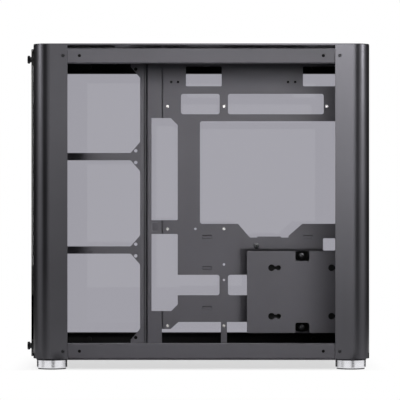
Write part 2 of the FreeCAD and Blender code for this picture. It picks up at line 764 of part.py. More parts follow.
def make_tray():
    front, mid, rear = y_hole_front, y_hole_mid, y_hole_rear
    edge = row_low + tray_edge_rise
    half_foot = tray_foot_width / 2
    shoulder = sheet + clearance
    y1 = y_panel - shoulder
    flap = (flap_y0 - flap_margin, flap_y1 + flap_margin, drive_z0 - flap_margin)
    outline = [(y_tray, tab_low, 0), (front + tray_tab_front[0], tab_low, tray_tab_radius),
               (front + tray_tab_front[1], edge, 0), (mid - half_foot, edge, 0),
               (mid - half_foot, z_floor, 0), (mid + half_foot, z_floor, 0),
               (mid + half_foot, edge, 0), (flap[0], edge, 0),
               (flap[0], flap[2], 0), (flap[1], flap[2], 0), (flap[1], edge, 0),
               (rear - tray_tab_rear, edge, 0), (rear - tray_tab_rear, tab_low, 0), (y1, tab_low, 0),
               (y1, z_ceiling - shoulder, 0), (y_panel - fold - cut, z_ceiling - shoulder, 0),
               (y_panel - fold - cut, z_ceiling, 0), (y_tray, z_ceiling, 0)]
    web = plate_x(outline, x_tray, x_tray_back)
    top_fold = box(x_tray - fold, x_tray, y_tray, y_panel - fold - cut, z_ceiling - sheet, z_ceiling)
    rear_fold = box(x_tray, x_tray_back + tray_rear_flange, y1, y_panel, tab_low, z_ceiling - fold)
    tray = union(web, top_fold, rear_fold)
    cutters = side_windows() + tray_windows()
    added = []
    for y, z in ((mid - lance_side, row_mid - lance_drop[0]), (mid - lance_side, row_mid - lance_drop[1]),
                 (mid - lance_side, row_low + lance_low), (rear - lance_rear, row_mid - lance_drop[0])):
        slot, strap = lance(y, z)
        cutters.append(slot)
        added.append(strap)
    for y in (front + nut_front[0], front + nut_front[1], rear - nut_rear[0], rear - nut_rear[1]):
        outer = point(x_tray_back, y, row_high + nut_rise)
        end = outer - point(sheet + blind_nut_length, 0, 0)
        nut = rod(blind_nut_radius, outer, end)
        added.append(nut.cut(rod(hole_radius, outer, end + point(sheet, 0, 0))))
        cutters.append(nut)
    holes = [(mid - spare_hole_front, row_mid), (mid, row_mid - spare_hole_drop),
             (mid, row_low + spare_hole_rise), *drive_screw_places()]
    bores = [(y, z, hole_radius) for y, z in holes]
    bores += [(y, z, standoff_tail_radius + press_clearance) for y, z in standoffs]
    for y, z, radius in bores:
        cutters.append(rod(radius, point(x_tray - cut, y, z), point(x_tray_back + cut, y, z)))
    pieces["motherboard_tray"] = union(tray.cut(cutters), *added)


def make_standoffs():
    posts = []
    for y, z in standoffs:
        face = point(x_tray, y, z)
        ring = [point(x_tray, y + standoff_hex / math.sqrt(3) * math.cos(math.radians(60 * i)),
                      z + standoff_hex / math.sqrt(3) * math.sin(math.radians(60 * i))) for i in range(6)]
        body = Part.Face(Part.makePolygon(ring + ring[:1])).extrude(point(-standoff_length, 0, 0))
        tail = rod(standoff_tail_radius, face, point(x_tray_back + press_clearance, y, z))
        bore = rod(standoff_bore, point(x_tray - standoff_length, y, z), point(x_tray - cut, y, z))
        posts.append(union(body, tail).cut(bore))
    pieces["motherboard_standoffs"] = grouped(posts)


# Upright: a folded strip with an open groove, a lap behind the fan bracket and a beaded seam to the tray

def make_upright():
    x_deep = x_tray_back - upright_fold
    x_bead = x_tray - seam_depth
    y_wall, y_lap = y_web - clearance, y_tray + upright_lap
    folded = [(x_tray_back, y_lip, 0), (x_tray_back, y_lip + sheet, 0), (x_deep + sheet, y_lip + sheet, 0),
              (x_deep + sheet, y_wall, 0), (x_tray_back, y_wall, bend), (x_tray_back, y_web_end, sheet / 2),
              (x_tray, y_web_end, 0), (x_tray, y_web + sheet, 0), (x_deep, y_web + sheet, bend),
              (x_deep, y_lip, 0)]
    beaded = [(x_tray, y_web_end, 0), (x_bead + sheet, y_web_end, 0), (x_bead + sheet, y_tray, 0),
              (x_tray, y_tray, 0), (x_tray, y_lap, 0), (x_tray - sheet, y_lap, 0),
              (x_tray - sheet, y_tray + sheet, 0), (x_bead, y_tray + sheet, bend),
              (x_bead, y_web_end - sheet, bend), (x_tray, y_web_end - sheet, 0)]
    strip = plate_z(folded, z_floor, z_ceiling)
    bead = plate_z(beaded, tab_low, z_ceiling - fold)
    lap = box(x_deep, x_deep + sheet, y_lip - upright_reach, y_lip, z_floor + fold, z_ceiling - fold)
    spring_y, spring_z = y_web + spring_place[0], row_mid + spring_rise
    slot, blade = spring_tongue(spring_y, spring_y + spring_place[1], spring_z - spring_height / 2,
                                spring_z + spring_height / 2)
    pieces["tray_upright"] = union(union(strip, bead, lap).cut([*side_windows(), slot]), blade)


# Side fan bracket: a flat bracket beside the upright, folded at its ends

def make_fan_bracket():
    web = box(x_tray, x_tray_back, y_bracket, y_bracket_end, z_floor, z_ceiling)
    low = box(x_tray - fold, x_tray, y_bracket, y_bracket_end, z_floor, z_floor + sheet)
    high = box(x_tray - fold, x_tray, y_bracket, y_bracket_end, z_ceiling - sheet, z_ceiling)
    cutters = []
    y = (y_bracket + y_bracket_end) / 2
    half = fan_bracket_width / 2 - bracket_margin
    levels = fan_rows(z_floor, z_ceiling)
    for z in levels:
        cutters += fan_cutters_x(y, z, half, x_tray - cut, x_tray_back + cut)
    for z, end in ((levels[0], z_floor + bracket_end), (levels[-1], z_ceiling - bracket_end)):
        reach = oblong(y - half + fan_gusset[0], y + half - fan_gusset[0],
                       min(z, end), max(z, end), window_radius)
        cutters.append(plate_x(reach, x_tray - cut, x_tray_back + cut))
    pieces["side_fan_bracket"] = union(web, low, high).cut(cutters)


# Drive plate: keyholed plate on legs bent back to the tray

def keyhole(y, z, x0, x1):
    wide = rod(key_wide, point(x0, y, z), point(x1, y, z))
    narrow = rod(key_narrow, point(x0, y + key_step, z), point(x1, y + key_step, z))
    return union(wide, narrow, box(x0, x1, y, y + key_step, z - key_neck, z + key_neck))


def make_drive_plate():
    x1 = x_tray_back + drive_standoff
    x0 = x1 - sheet
    foot = (x_tray_back, x_tray_back + sheet)
    plate = box(x0, x1, drive_y0, drive_y1, drive_z0, drive_z1)
    flap = (flap_y0, flap_y1)
    leg_high = drive_z1 - flap_depth
    leg_low = drive_z0 + flap_depth
    notches = []
    for outer, inner in ((drive_z1 + cut, leg_high), (drive_z0 - cut, leg_low)):
        notch = [(flap_y0, outer, 0), (flap_y0, inner, flap_radius), (flap_y1, inner, flap_radius),
                 (flap_y1, outer, 0)]
        notches.append(plate_x(notch, x0 - cut, x1 + cut))
    keys = [keyhole(key_y + i * drive_hole_pitch, key_z + j * drive_row_pitch, x0 - cut, x1 + cut)
            for i in (0, 1) for j in (0, 1)]
    legs = [box(foot[0], x1, *flap, leg_high - sheet, leg_high),
            box(*foot, *flap, leg_high - sheet, drive_z1),
            box(foot[0], x1, *flap, leg_low, leg_low + sheet),
            box(*foot, *flap, drive_z0, leg_low + sheet),
            box(foot[0], x1, *drive_tab, drive_z1 - sheet, drive_z1),
            box(*foot, *drive_tab, drive_z1 - sheet, drive_z1 + fold)]
    shape = union(plate.cut(notches + keys), *legs)
    screws = []
    for y, z in drive_screw_places():
        seat = point(foot[1], y, z)
        shape = shape.cut(rod(hole_radius, point(foot[0], y, z), seat))
        head = rod(foot_screw_head_radius, seat, seat + point(foot_screw_head, 0, 0))
        shank = rod(hole_radius - press_clearance, seat, point(x_tray - cut, y, z))
        screws.append(union(head, shank))
    pieces["drive_plate"] = shape
    pieces["drive_plate_screws"] = grouped(screws)


# Rear panel with its openings, slot covers and power-supply plate

slot_x1 = x_tray - standoff_length - slot_inset
slot_x0 = slot_x1 - slot_span
slot_top = row_mid + slot_rise
slot_screw_y = y_panel_back + slot_tab / 2
rear_half = x_right - rear_arm + clearance + rear_sheet
rear_fan = (x_main - rear_fan_side, row_high - rear_fan_drop)
psu_x = (x_tray_back + tray_rear_flange + rear_half) / 2
psu_z = row_high - psu_drop


def slot_levels():
    return [slot_top - slot_pitch * i for i in range(slot_count)]


def psu_screw_places():
    half_x, half_z = psu_screw_pitch / 2, psu_hole_span / 2 + psu_screw_end
    return [(psu_x + sx * half_x, psu_z + sz * half_z) for sx in (-1, 1) for sz in (-1, 1)]


def make_rear_panel():
    half = rear_half
    web = box(-half, half, y_panel, y_panel_back, z_floor, z_ceiling)
    inner_y = y_rear - column_wall
    sides = [box(-half, -half + rear_sheet, y_panel_back, inner_y, z_floor, z_ceiling),
             box(half - rear_sheet, half, y_panel_back, inner_y, z_floor, z_ceiling)]
    fold_half = foot_x - foot_screw_head_radius - clearance
    ends = [box(-fold_half, fold_half, y_panel - fold, y_panel, z_floor, z_floor + rear_sheet),
            box(-fold_half, fold_half, y_panel - fold, y_panel, z_ceiling - rear_sheet, z_ceiling)]
    levels = slot_levels()
    ledge_z = (levels[-1] - slot_pitch / 2, levels[0] + slot_pitch / 2)
    ledge = box(slot_x0 - rear_sheet, slot_x0, y_panel_back, y_panel_back + slot_tab - cut, *ledge_z)
    y0, y1 = y_panel - cut, y_panel_back + cut
    io_low = row_mid + io_rise
    cutters = [plate_y(oblong(slot_x1 + cut - io_width, slot_x1 + cut, io_low, io_low + io_height), y0, y1)]
    slit = slot_cover_sheet + 2 * clearance
    cutters.append(box(slot_x0 - rear_sheet - slit, slot_x0 - rear_sheet, y0, y1, *ledge_z))
    for z in levels:
        cutters.append(box(slot_x0, slot_x1, y0, y1, z - slot_width / 2, z + slot_width / 2))
    vent_rows = int(rear_fan_field // vent_pitch)
    vent_width = rear_fan_field / 3 - vent_slot[1]
    for i in range(vent_rows):
        z = rear_fan[1] + vent_pitch * (i - (vent_rows - 1) / 2)
        for j in (-1, 0, 1):
            x = rear_fan[0] + j * (vent_width + vent_slot[1])
            cutters.append(box(x - vent_width / 2, x + vent_width / 2, y0, y1,
                               z - vent_slot[1] / 2, z + vent_slot[1] / 2))
    for sx in (-1, 1):
        for sz in (-1, 1):
            x, z = rear_fan[0] + sx * rear_fan_hole_pitch / 2, rear_fan[1] + sz * rear_fan_hole_pitch / 2
            cutters.append(rod(fan_hole_radius, point(x, y0, z), point(x, y1, z)))
    half_x, half_z = psu_hole_width / 2 + psu_opening_margin, psu_hole_span / 2 + psu_opening_margin
    opening = oblong(psu_x - half_x, psu_x + half_x, psu_z - half_z, psu_z + half_z, window_radius)
    cutters.append(plate_y(opening, y0, y1))
    for x, z in psu_screw_places():
        cutters.append(rod(hole_radius, point(x, y0, z), point(x, y1, z)))
    panel = union(web, ledge, *sides, *ends).cut(cutters)
    for z in levels:
        inner = point(slot_x0, slot_screw_y, z)
        panel = panel.cut(rod(hole_radius, inner - point(rear_sheet, 0, 0), inner))
    pieces["rear_panel"] = panel


def make_slot_covers():
    screws = []
    x_tab = slot_x0 - rear_sheet - slot_cover_sheet
    y0 = y_panel - slot_cover_sheet
    for i, z in enumerate(slot_levels()):
        half = slot_cover_width / 2
        neck, tip = slot_x1 + slot_tongue[0], slot_x1 + slot_tongue[1]
        outline = [(x_tab, z - half, 0), (slot_x1, z - half, slot_corner), (neck, z - half / 2, 0),
                   (tip, z - half / 2, 0), (tip, z + half / 2, 0), (neck, z + half / 2, 0),
                   (slot_x1, z + half, slot_corner), (x_tab, z + half, 0)]
        face = plate_y(outline, y0, y_panel)
        gaps = []
        for j in range(slot_vents):
            x = slot_x0 + slot_span * (j + 1) / (slot_vents + 1)
            gaps.append(box(x - slot_width / 2, x + slot_width / 2, y0 - cut, y_panel + cut,
                            z - vent_slot[1] / 2, z + vent_slot[1] / 2))
        tab = box(x_tab, x_tab + slot_cover_sheet, y0, y_panel_back + slot_tab - cut, z - half, z + half)
        seat = point(x_tab, slot_screw_y, z)
        slot = union(rod(hole_radius, seat, seat + point(slot_cover_sheet, 0, 0)),
                     box(x_tab, x_tab + slot_cover_sheet, slot_screw_y, y_panel_back + slot_tab,
                         z - hole_radius, z + hole_radius))
        pieces["slot_cover_%d" % (i + 1)] = union(face.cut(gaps), tab).cut(slot)
        head = rod(foot_screw_head_radius, seat - point(foot_screw_head, 0, 0), seat)
        shank = rod(hole_radius - press_clearance, seat, point(slot_x0 + cut, slot_screw_y, z))
        screws.append(union(head, shank))
    pieces["slot_cover_screws"] = grouped(screws)


def make_psu_plate():
    y0, y1 = y_panel_back, y_panel_back + sheet
    half_x, half_z = psu_hole_width / 2 + psu_plate_side, psu_hole_span / 2 + psu_plate_end
    outline = oblong(psu_x - half_x, psu_x + half_x, psu_z - half_z, psu_z + half_z, window_radius)
    plate = plate_y(outline, y0, y1)
    wide, high = psu_hole_width / 2, psu_hole_span / 2
    corner = 2 * fan_hole_radius + window_radius
    slim, low = wide - corner, high - corner
    window = [(-slim, -high), (slim, -high), (slim, -low), (wide, -low), (wide, low), (slim, low),
              (slim, high), (-slim, high), (-slim, low), (-wide, low), (-wide, -low), (-slim, -low)]
    plate = plate.cut(plate_y([(psu_x + a, psu_z + b, 0) for a, b in window], y0 - cut, y1 + cut))
    for sx in (-1, 1):
        for sz in (-1, 1):
            x, z = psu_x + sx * psu_hole_width / 2, psu_z + sz * psu_hole_span / 2
            plate = plate.cut(rod(hole_radius + clearance, point(x, y0, z), point(x, y1, z)))
    screws = []
    for x, z in psu_screw_places():
        plate = plate.cut(rod(hole_radius, point(x, y0, z), point(x, y1, z)))
        seat = point(x, y1, z)
        head = rod(foot_screw_head_radius, seat, seat + point(0, foot_screw_head, 0))
        shank = rod(hole_radius - press_clearance, point(x, y_panel - cut, z), seat)
        screws.append(union(head, shank))
    pieces["psu_plate"] = plate
    pieces["psu_plate_screws"] = grouped(screws)


# Glass panels, with the studs, thumbscrews and grommets that hold them

def make_glass():
    y0, y1 = y_front + left_side_arm + 2 * clearance, y_rear - left_side_arm - 2 * clearance
    outline = oblong(y0, y1, z_floor, z_cap - 2 * clearance, window_radius)
    pieces["left_glass"] = plate_x(outline, x_left, -x_rail)
    studs = []
    ball = rail_hole_radius + clearance
    neck = rail_hole_radius - clearance
    for y, z in snap_places():
        studs.append(turned([(0, 0), (neck, 0), (neck, sheet + clearance), (ball, sheet + ball),
                             (neck, sheet + 2 * ball), (0, sheet + 2 * ball)],
                            point(-x_rail, y, z), point(1, 0, 0)))
    pieces["left_glass_studs"] = grouped(studs)

    half = front_glass_width / 2
    pane = plate_y(oblong(-half, half, z_base + front_glass_inset, z_cap - front_glass_inset, window_radius),
                   y_front - glass, y_front)
    screws = []
    grommets = []
    back = point(0, 1, 0)
    for x in (-thumb_x, thumb_x):
        for z in thumb_z:
            outer = point(x, y_front - glass, z)
            pane = pane.cut(rod(grommet_radius + clearance, outer, point(x, y_front, z)))
            bush = turned([(thumb_shank_radius + clearance, -grommet_lip), (grommet_lip_radius, -grommet_lip),
                           (grommet_lip_radius, 0), (grommet_radius, 0), (grommet_radius, glass),
                           (thumb_shank_radius + clearance, glass)], outer, back)
            grommets.append(bush)
            seat = -grommet_lip
            collar = seat - thumb_neck
            tip = collar - thumb_head
            rim = thumb_head / 6
            end = glass + column_wall + 3 * sheet
            screws.append(turned([(0, tip), (thumb_head_radius - rim, tip), (thumb_head_radius, tip + rim),
                                  (thumb_head_radius, collar - rim), (thumb_head_radius - rim, collar),
                                  (thumb_neck_radius, collar), (thumb_neck_radius, seat),
                                  (thumb_shank_radius, seat), (thumb_shank_radius, end), (0, end)],
                                 outer, back))
    pieces["front_glass"] = pane
    pieces["front_thumbscrews"] = grouped(screws)
    pieces["front_grommets"] = grouped(grommets)


make_columns()
make_rails()
make_snap_sockets()
make_base()
make_filters()
make_top()
make_ports()
make_tray()
make_standoffs()
make_upright()
make_fan_bracket()
make_drive_plate()
make_rear_panel()
make_slot_covers()
make_psu_plate()
make_glass()

os.makedirs("parts", exist_ok=True)
for name, shape in pieces.items():
    shape.exportStep("parts/%s.step" % name)
    print("%-24s solids %d  volume %.0f  valid %s" % (name, len(shape.Solids), shape.Volume, shape.isValid()))
print("case %.1f wide, %.1f deep over the columns, %.1f high" % (x_right - x_left, case_depth, z_top))
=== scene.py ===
import bmesh
import bpy
import math
from mathutils import Matrix, Vector


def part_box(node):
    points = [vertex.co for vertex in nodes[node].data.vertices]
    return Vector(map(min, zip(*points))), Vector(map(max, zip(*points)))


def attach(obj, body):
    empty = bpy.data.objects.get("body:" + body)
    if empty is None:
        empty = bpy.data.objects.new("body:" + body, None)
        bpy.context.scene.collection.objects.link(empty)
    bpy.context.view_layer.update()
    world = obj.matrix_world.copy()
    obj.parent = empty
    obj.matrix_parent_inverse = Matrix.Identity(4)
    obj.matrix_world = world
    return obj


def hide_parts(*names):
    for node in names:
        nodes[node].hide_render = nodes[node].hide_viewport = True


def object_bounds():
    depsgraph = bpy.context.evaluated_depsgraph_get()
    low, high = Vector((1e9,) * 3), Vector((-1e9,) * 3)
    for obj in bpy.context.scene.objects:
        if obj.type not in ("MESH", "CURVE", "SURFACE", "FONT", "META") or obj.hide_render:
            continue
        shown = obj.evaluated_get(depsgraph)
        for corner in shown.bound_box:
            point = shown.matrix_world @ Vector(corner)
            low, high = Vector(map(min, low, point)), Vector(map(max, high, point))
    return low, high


# Computer case with its side open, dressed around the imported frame. Metres, Z up.
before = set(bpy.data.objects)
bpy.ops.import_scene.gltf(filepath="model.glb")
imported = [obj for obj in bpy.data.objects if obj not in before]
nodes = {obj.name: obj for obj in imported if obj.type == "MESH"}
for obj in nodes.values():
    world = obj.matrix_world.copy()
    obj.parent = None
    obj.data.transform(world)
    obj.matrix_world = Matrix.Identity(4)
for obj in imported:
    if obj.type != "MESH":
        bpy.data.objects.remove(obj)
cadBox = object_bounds()
scene = bpy.context.scene
scene.view_settings.view_transform = "Standard"
mm = 0.001
alongX, alongY, alongZ = 0, 1, 2
creaseAngle = math.radians(32)


# Boxes of the frame's nodes

def corners(name):
    return tuple(Vector(corner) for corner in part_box(name))


def boxMiddle(name):
    low, high = corners(name)
    return (low + high) / 2


def rowEnds(name, axis, radius):
    # centres of the first and last head of a row along one axis
    low, high = corners(name)
    return low[axis] + radius, high[axis] - radius


def cornerSeats(name, axis, level, radius):
    # four heads at the corners of a box, all at one level along their own axis
    ends = [(level,) if i == axis else rowEnds(name, i, radius) for i in (alongX, alongY, alongZ)]
    return [(x, y, z) for x in ends[alongX] for y in ends[alongY] for z in ends[alongZ]]


# Node building

def addNode(tree, kind, inputs=None, **settings):
    made = tree.nodes.new(kind)
    for label, value in settings.items():
        setattr(made, label, value)
    for label, value in (inputs or {}).items():
        if isinstance(value, bpy.types.NodeSocket):
            tree.links.new(value, made.inputs[label])
        else:
            made.inputs[label].default_value = value
    return made


def nodeOut(tree, kind, inputs=None, **settings):
    return addNode(tree, kind, inputs, **settings).outputs[0]


def mathNode(tree, operation, first, second):
    return nodeOut(tree, "ShaderNodeMath", {0: first, 1: second}, operation=operation)


def vectorNode(tree, operation, *inputs):
    return addNode(tree, "ShaderNodeVectorMath", dict(enumerate(inputs)), operation=operation).outputs


# Shader groups

def newGroup(name, inputs, outputs):
    group = bpy.data.node_groups.new(name, "ShaderNodeTree")
    for label, kind, value in inputs:
        socket = group.interface.new_socket(label, in_out="INPUT", socket_type=kind)
        socket.default_value = value
    for label, kind in outputs:
        group.interface.new_socket(label, in_out="OUTPUT", socket_type=kind)
    return group, addNode(group, "NodeGroupInput").outputs, addNode(group, "NodeGroupOutput").inputs


def makeGrainGroup():
    # fine speckle and a slow cloud over it, for coated, blasted and moulded surfaces
    group, given, out = newGroup("surfaceGrain", [
        ("Fine Scale", "NodeSocketFloat", 1500.0), ("Cloud Scale", "NodeSocketFloat", 12.0),
        ("Stretch", "NodeSocketVector", (1.0, 1.0, 1.0))],
        [("Fine", "NodeSocketFloat"), ("Cloud", "NodeSocketFloat")])
    place = addNode(group, "ShaderNodeTexCoord").outputs["Object"]
    stretched = nodeOut(group, "ShaderNodeMapping", {"Vector": place, "Scale": given["Stretch"]})
    fine = addNode(group, "ShaderNodeTexNoise", {"Vector": stretched, "Scale": given["Fine Scale"],
                                                 "Detail": 3.0, "Roughness": 0.6})
    cloud = addNode(group, "ShaderNodeTexNoise", {"Vector": place, "Scale": given["Cloud Scale"],
                                                  "Detail": 4.0})
    group.links.new(fine.outputs["Fac"], out["Fine"])
    group.links.new(cloud.outputs["Fac"], out["Cloud"])
    return group


def makeLatheGroup():
    # tool marks: fine rings round an upright axis on end faces, fine level lines on the turned wall
    group, given, out = newGroup("latheMarks", [
        ("Centre", "NodeSocketVector", (0.0, 0.0, 0.0)), ("Line Scale", "NodeSocketFloat", 900.0)],
        [("Rings", "NodeSocketFloat"), ("Levels", "NodeSocketFloat")])
    place = addNode(group, "ShaderNodeTexCoord").outputs["Object"]
    shift = vectorNode(group, "SUBTRACT", place, given["Centre"])["Vector"]
    flat = vectorNode(group, "MULTIPLY", shift, (1.0, 1.0, 0.0))["Vector"]
    radius = vectorNode(group, "LENGTH", flat)["Value"]
    height = addNode(group, "ShaderNodeSeparateXYZ", {"Vector": shift}).outputs["Z"]
    for label, run in (("Rings", radius), ("Levels", height)):
        lines = addNode(group, "ShaderNodeTexNoise", {"W": run, "Scale": given["Line Scale"], "Detail": 3.0},
                        noise_dimensions="1D")
        group.links.new(lines.outputs["Fac"], out[label])
    return group


grainGroup = makeGrainGroup()
latheGroup = makeLatheGroup()


# Materials

noiseReach = (0.3, 0.7)  # where most of a noise's values lie
colourSockets = {"dark": 6, "light": 7, "mixed": 2}  # places of the Mix node's colours among its sockets
metal = {"Metallic": 1.0}


def startMaterial(name):
    material = bpy.data.materials.new(name)
    material.use_nodes = True
    tree = material.node_tree
    return material, tree, tree.nodes["Principled BSDF"]


def setSockets(shader, sockets):
    for label, value in sockets.items():
        shader.inputs[label].default_value = value


def noiseBetween(tree, value, low, high):
    # a noise value, widened and laid between low and high
    return nodeOut(tree, "ShaderNodeMapRange", {"Value": value, "From Min": noiseReach[0],
                                                "From Max": noiseReach[1], "To Min": low, "To Max": high})


def tintBetween(tree, value, dark, light):
    mix = addNode(tree, "ShaderNodeMix", {"Factor": value, colourSockets["dark"]: (*dark, 1.0),
                                          colourSockets["light"]: (*light, 1.0)}, data_type="RGBA")
    return mix.outputs[colourSockets["mixed"]]


def bumpFrom(tree, height, depth, strength):
    return nodeOut(tree, "ShaderNodeBump", {"Height": height, "Distance": depth, "Strength": strength})


def grainMaterial(name, look):
    # coated, blasted, moulded or glazed surface from one dictionary
    material, tree, shader = startMaterial(name)
    grain = addNode(tree, "ShaderNodeGroup", {
        "Fine Scale": look["fineScale"], "Cloud Scale": look["cloudScale"],
        "Stretch": look.get("stretch", (1.0, 1.0, 1.0))}, node_tree=grainGroup).outputs
    tone = noiseBetween(tree, grain["Cloud"], 0.0, 1.0)
    tree.links.new(tintBetween(tree, tone, look["dark"], look["light"]), shader.inputs["Base Color"])
    average = mathNode(tree, "MULTIPLY", mathNode(tree, "ADD", grain["Fine"], grain["Cloud"]), 0.5)
    tree.links.new(noiseBetween(tree, average, *look["roughness"]), shader.inputs["Roughness"])
    if look.get("bump"):
        tree.links.new(bumpFrom(tree, grain["Fine"], *look["bump"]), shader.inputs["Normal"])
    setSockets(shader, look.get("sockets", {}))
    if look.get("absorb"):
        volume = nodeOut(tree, "ShaderNodeVolumeAbsorption", look["absorb"])
        tree.links.new(volume, tree.nodes["Material Output"].inputs["Volume"])
    return material


def turnedMaterial(name, look):
    # lathe-turned metal, with its marks about one upright axis
    material, tree, shader = startMaterial(name)
    marks = addNode(tree, "ShaderNodeGroup", {"Centre": look["centre"], "Line Scale": look["lineScale"]},
                    node_tree=latheGroup).outputs
    both = nodeOut(tree, "ShaderNodeMix", {"Factor": look["ringShare"], "A": marks["Levels"],
                                           "B": marks["Rings"]})
    tone = noiseBetween(tree, both, 0.0, 1.0)
    tree.links.new(tintBetween(tree, tone, look["dark"], look["light"]), shader.inputs["Base Color"])
    tree.links.new(noiseBetween(tree, both, *look["roughness"]), shader.inputs["Roughness"])
    tree.links.new(bumpFrom(tree, both, *look["bump"]), shader.inputs["Normal"])
    setSockets(shader, metal)
    if look.get("streak"):  # highlights drawn out across the tool marks
        setSockets(shader, {"Anisotropic": look["streak"]})
        around = nodeOut(tree, "ShaderNodeTangent", direction_type="RADIAL", axis="Z")
        tree.links.new(around, shader.inputs["Tangent"])
    return material


columnLook = {"dark": (0.0645, 0.0632, 0.0696), "light": (0.0766, 0.0752, 0.083), "roughness": (0.27, 0.35),
              "fineScale": 2600.0, "cloudScale": 7.0, "bump": (0.00002, 0.25), "sockets": metal}
sheetLook = {"dark": (0.118, 0.1135, 0.1295), "light": (0.1385, 0.1335, 0.1525), "roughness": (0.46, 0.58),
             "fineScale": 1700.0, "cloudScale": 9.0, "bump": (0.00003, 0.25),
             "sockets": {"Specular IOR Level": 0.2}}
# near-black rubber for the feet's pads, and painted shade in the keyhole cups and leg pads
rubberAndShadeLook = {"dark": (0.006, 0.006, 0.006), "light": (0.011, 0.011, 0.011), "roughness": (0.7, 0.85),
              "fineScale": 900.0, "cloudScale": 30.0, "bump": (0.00004, 0.3),
              "sockets": {"Specular IOR Level": 0.25}}
glassLook = {"dark": (0.965, 0.968, 0.972), "light": (0.985, 0.988, 0.992), "roughness": (0.0, 0.012),
             "fineScale": 60.0, "cloudScale": 3.0, "sockets": {"Transmission Weight": 1.0, "IOR": 1.5},
             "absorb": {"Color": (0.203, 0.187, 0.275, 1.0), "Density": 400.0}}
steelLook = {"dark": (0.66, 0.65, 0.63), "light": (0.76, 0.75, 0.73), "roughness": (0.18, 0.3),
             "fineScale": 1400.0, "cloudScale": 60.0, "bump": (0.00001, 0.15), "sockets": metal}
screwLook = {"dark": (0.022, 0.022, 0.024), "light": (0.038, 0.038, 0.040), "roughness": (0.32, 0.46),
             "fineScale": 1600.0, "cloudScale": 90.0, "bump": (0.00001, 0.2), "sockets": metal}
zincLook = {**screwLook, "dark": (0.075, 0.075, 0.08), "light": (0.105, 0.105, 0.11),
            "roughness": (0.24, 0.36)}
filterLook = {"dark": (0.02, 0.02, 0.021), "light": (0.03, 0.03, 0.031), "roughness": (0.55, 0.7),
              "fineScale": 1100.0, "cloudScale": 20.0, "bump": (0.00002, 0.2)}
# near-black paint for the far rails, the snap sockets and the nut sleeves: painted shade for the dark inside
# them
paintedShadeLook = {"dark": (0.006, 0.006, 0.006), "light": (0.009, 0.009, 0.010), "roughness": (0.62, 0.76),
             "fineScale": 1500.0, "cloudScale": 14.0, "bump": (0.00003, 0.3),
             "sockets": {"Specular IOR Level": 0.15}}
portLook = {"dark": (0.018, 0.018, 0.019), "light": (0.026, 0.026, 0.027), "roughness": (0.42, 0.56),
            "fineScale": 1900.0, "cloudScale": 40.0, "bump": (0.00002, 0.25)}
boardLook = {"dark": (0.010, 0.030, 0.018), "light": (0.018, 0.055, 0.030), "roughness": (0.35, 0.5),
             "fineScale": 800.0, "cloudScale": 150.0, "bump": (0.00002, 0.3), "stretch": (1.0, 0.2, 1.0)}
goldLook = {"dark": (0.70, 0.48, 0.20), "light": (0.83, 0.60, 0.28), "roughness": (0.18, 0.28),
            "fineScale": 2200.0, "cloudScale": 300.0, "bump": (0.000005, 0.15), "sockets": metal}
buttonLook = {"centre": boxMiddle("power_button"), "lineScale": 2400.0, "ringShare": 1.0,
              "dark": (0.20, 0.20, 0.21), "light": (0.30, 0.30, 0.31), "roughness": (0.22, 0.34),
              "bump": (0.00002, 0.3)}
footLook = {"centre": (0.0, 0.0, 0.0), "lineScale": 1500.0, "ringShare": 0.0,
            "dark": (0.74, 0.74, 0.77), "light": (0.86, 0.86, 0.89), "roughness": (0.17, 0.23),
            "bump": (0.00001, 0.1), "streak": 0.92}

columnAluminium = grainMaterial("blastedAluminium", columnLook)
blackSheet = grainMaterial("powderCoatedSheet", sheetLook)
rubberAndPaintedShade = grainMaterial("rubberAndPaintedShade", rubberAndShadeLook)
tintedGlass = grainMaterial("tintedGlass", glassLook)
brightSteel = grainMaterial("nickelledSteel", steelLook)
blackScrew = grainMaterial("blackOxideSteel", screwLook)
greyScrew = grainMaterial("greyZincSteel", zincLook)
filterNylon = grainMaterial("filterNylon", filterLook)
paintedShadeBlack = grainMaterial("paintedShadeCoat", paintedShadeLook)
portPlastic = grainMaterial("mouldedPlastic", portLook)
circuitBoard = grainMaterial("circuitLaminate", boardLook)
platedGold = grainMaterial("platedContact", goldLook)
spunButton = turnedMaterial("spunButton", buttonLook)
turnedFoot = turnedMaterial("turnedFoot", footLook)

finishOfSlot = {"column_aluminium": columnAluminium, "black_sheet": blackSheet, "foot_metal": turnedFoot,
                "rubber": rubberAndPaintedShade, "tinted_glass": tintedGlass, "bright_steel": brightSteel,
                "black_screw": blackScrew, "filter_plastic": filterNylon, "black_plastic": portPlastic,
                "circuit_board": circuitBoard, "button_metal": spunButton}
for node in nodes.values():
    for place in node.material_slots:
        place.material = finishOfSlot[place.material.name.split(".")[0]]
# painted shade: the far rails and the snap sockets get the near-black paint, as dark as their shade
for name in ("rail_left_bottom", "rail_left_top", "snap_sockets"):  # matt black on the far side
    nodes[name].material_slots[0].material = paintedShadeBlack
print("finishes on", len(nodes), "frame nodes")


# Geometry Nodes: small trees with named sizes, turned into plain meshes

screwWeld, filterWeld = 0.002 * mm, 0.01 * mm


def newTree(name, inputs):
    tree = bpy.data.node_groups.new(name, "GeometryNodeTree")
    tree.interface.new_socket("Geometry", in_out="OUTPUT", socket_type="NodeSocketGeometry")
    tree.interface.new_socket("Seats", in_out="INPUT", socket_type="NodeSocketGeometry")
    for label, kind in inputs:
        tree.interface.new_socket(label, in_out="INPUT", socket_type="NodeSocket" + kind)
    tree.interface.new_socket("Finish", in_out="INPUT", socket_type="NodeSocketMaterial")
    return tree, addNode(tree, "NodeGroupInput").outputs


def lifted(tree, shape, height):
    up = nodeOut(tree, "ShaderNodeCombineXYZ", {"Z": height})
    return nodeOut(tree, "GeometryNodeTransform", {"Geometry": shape, "Translation": up})


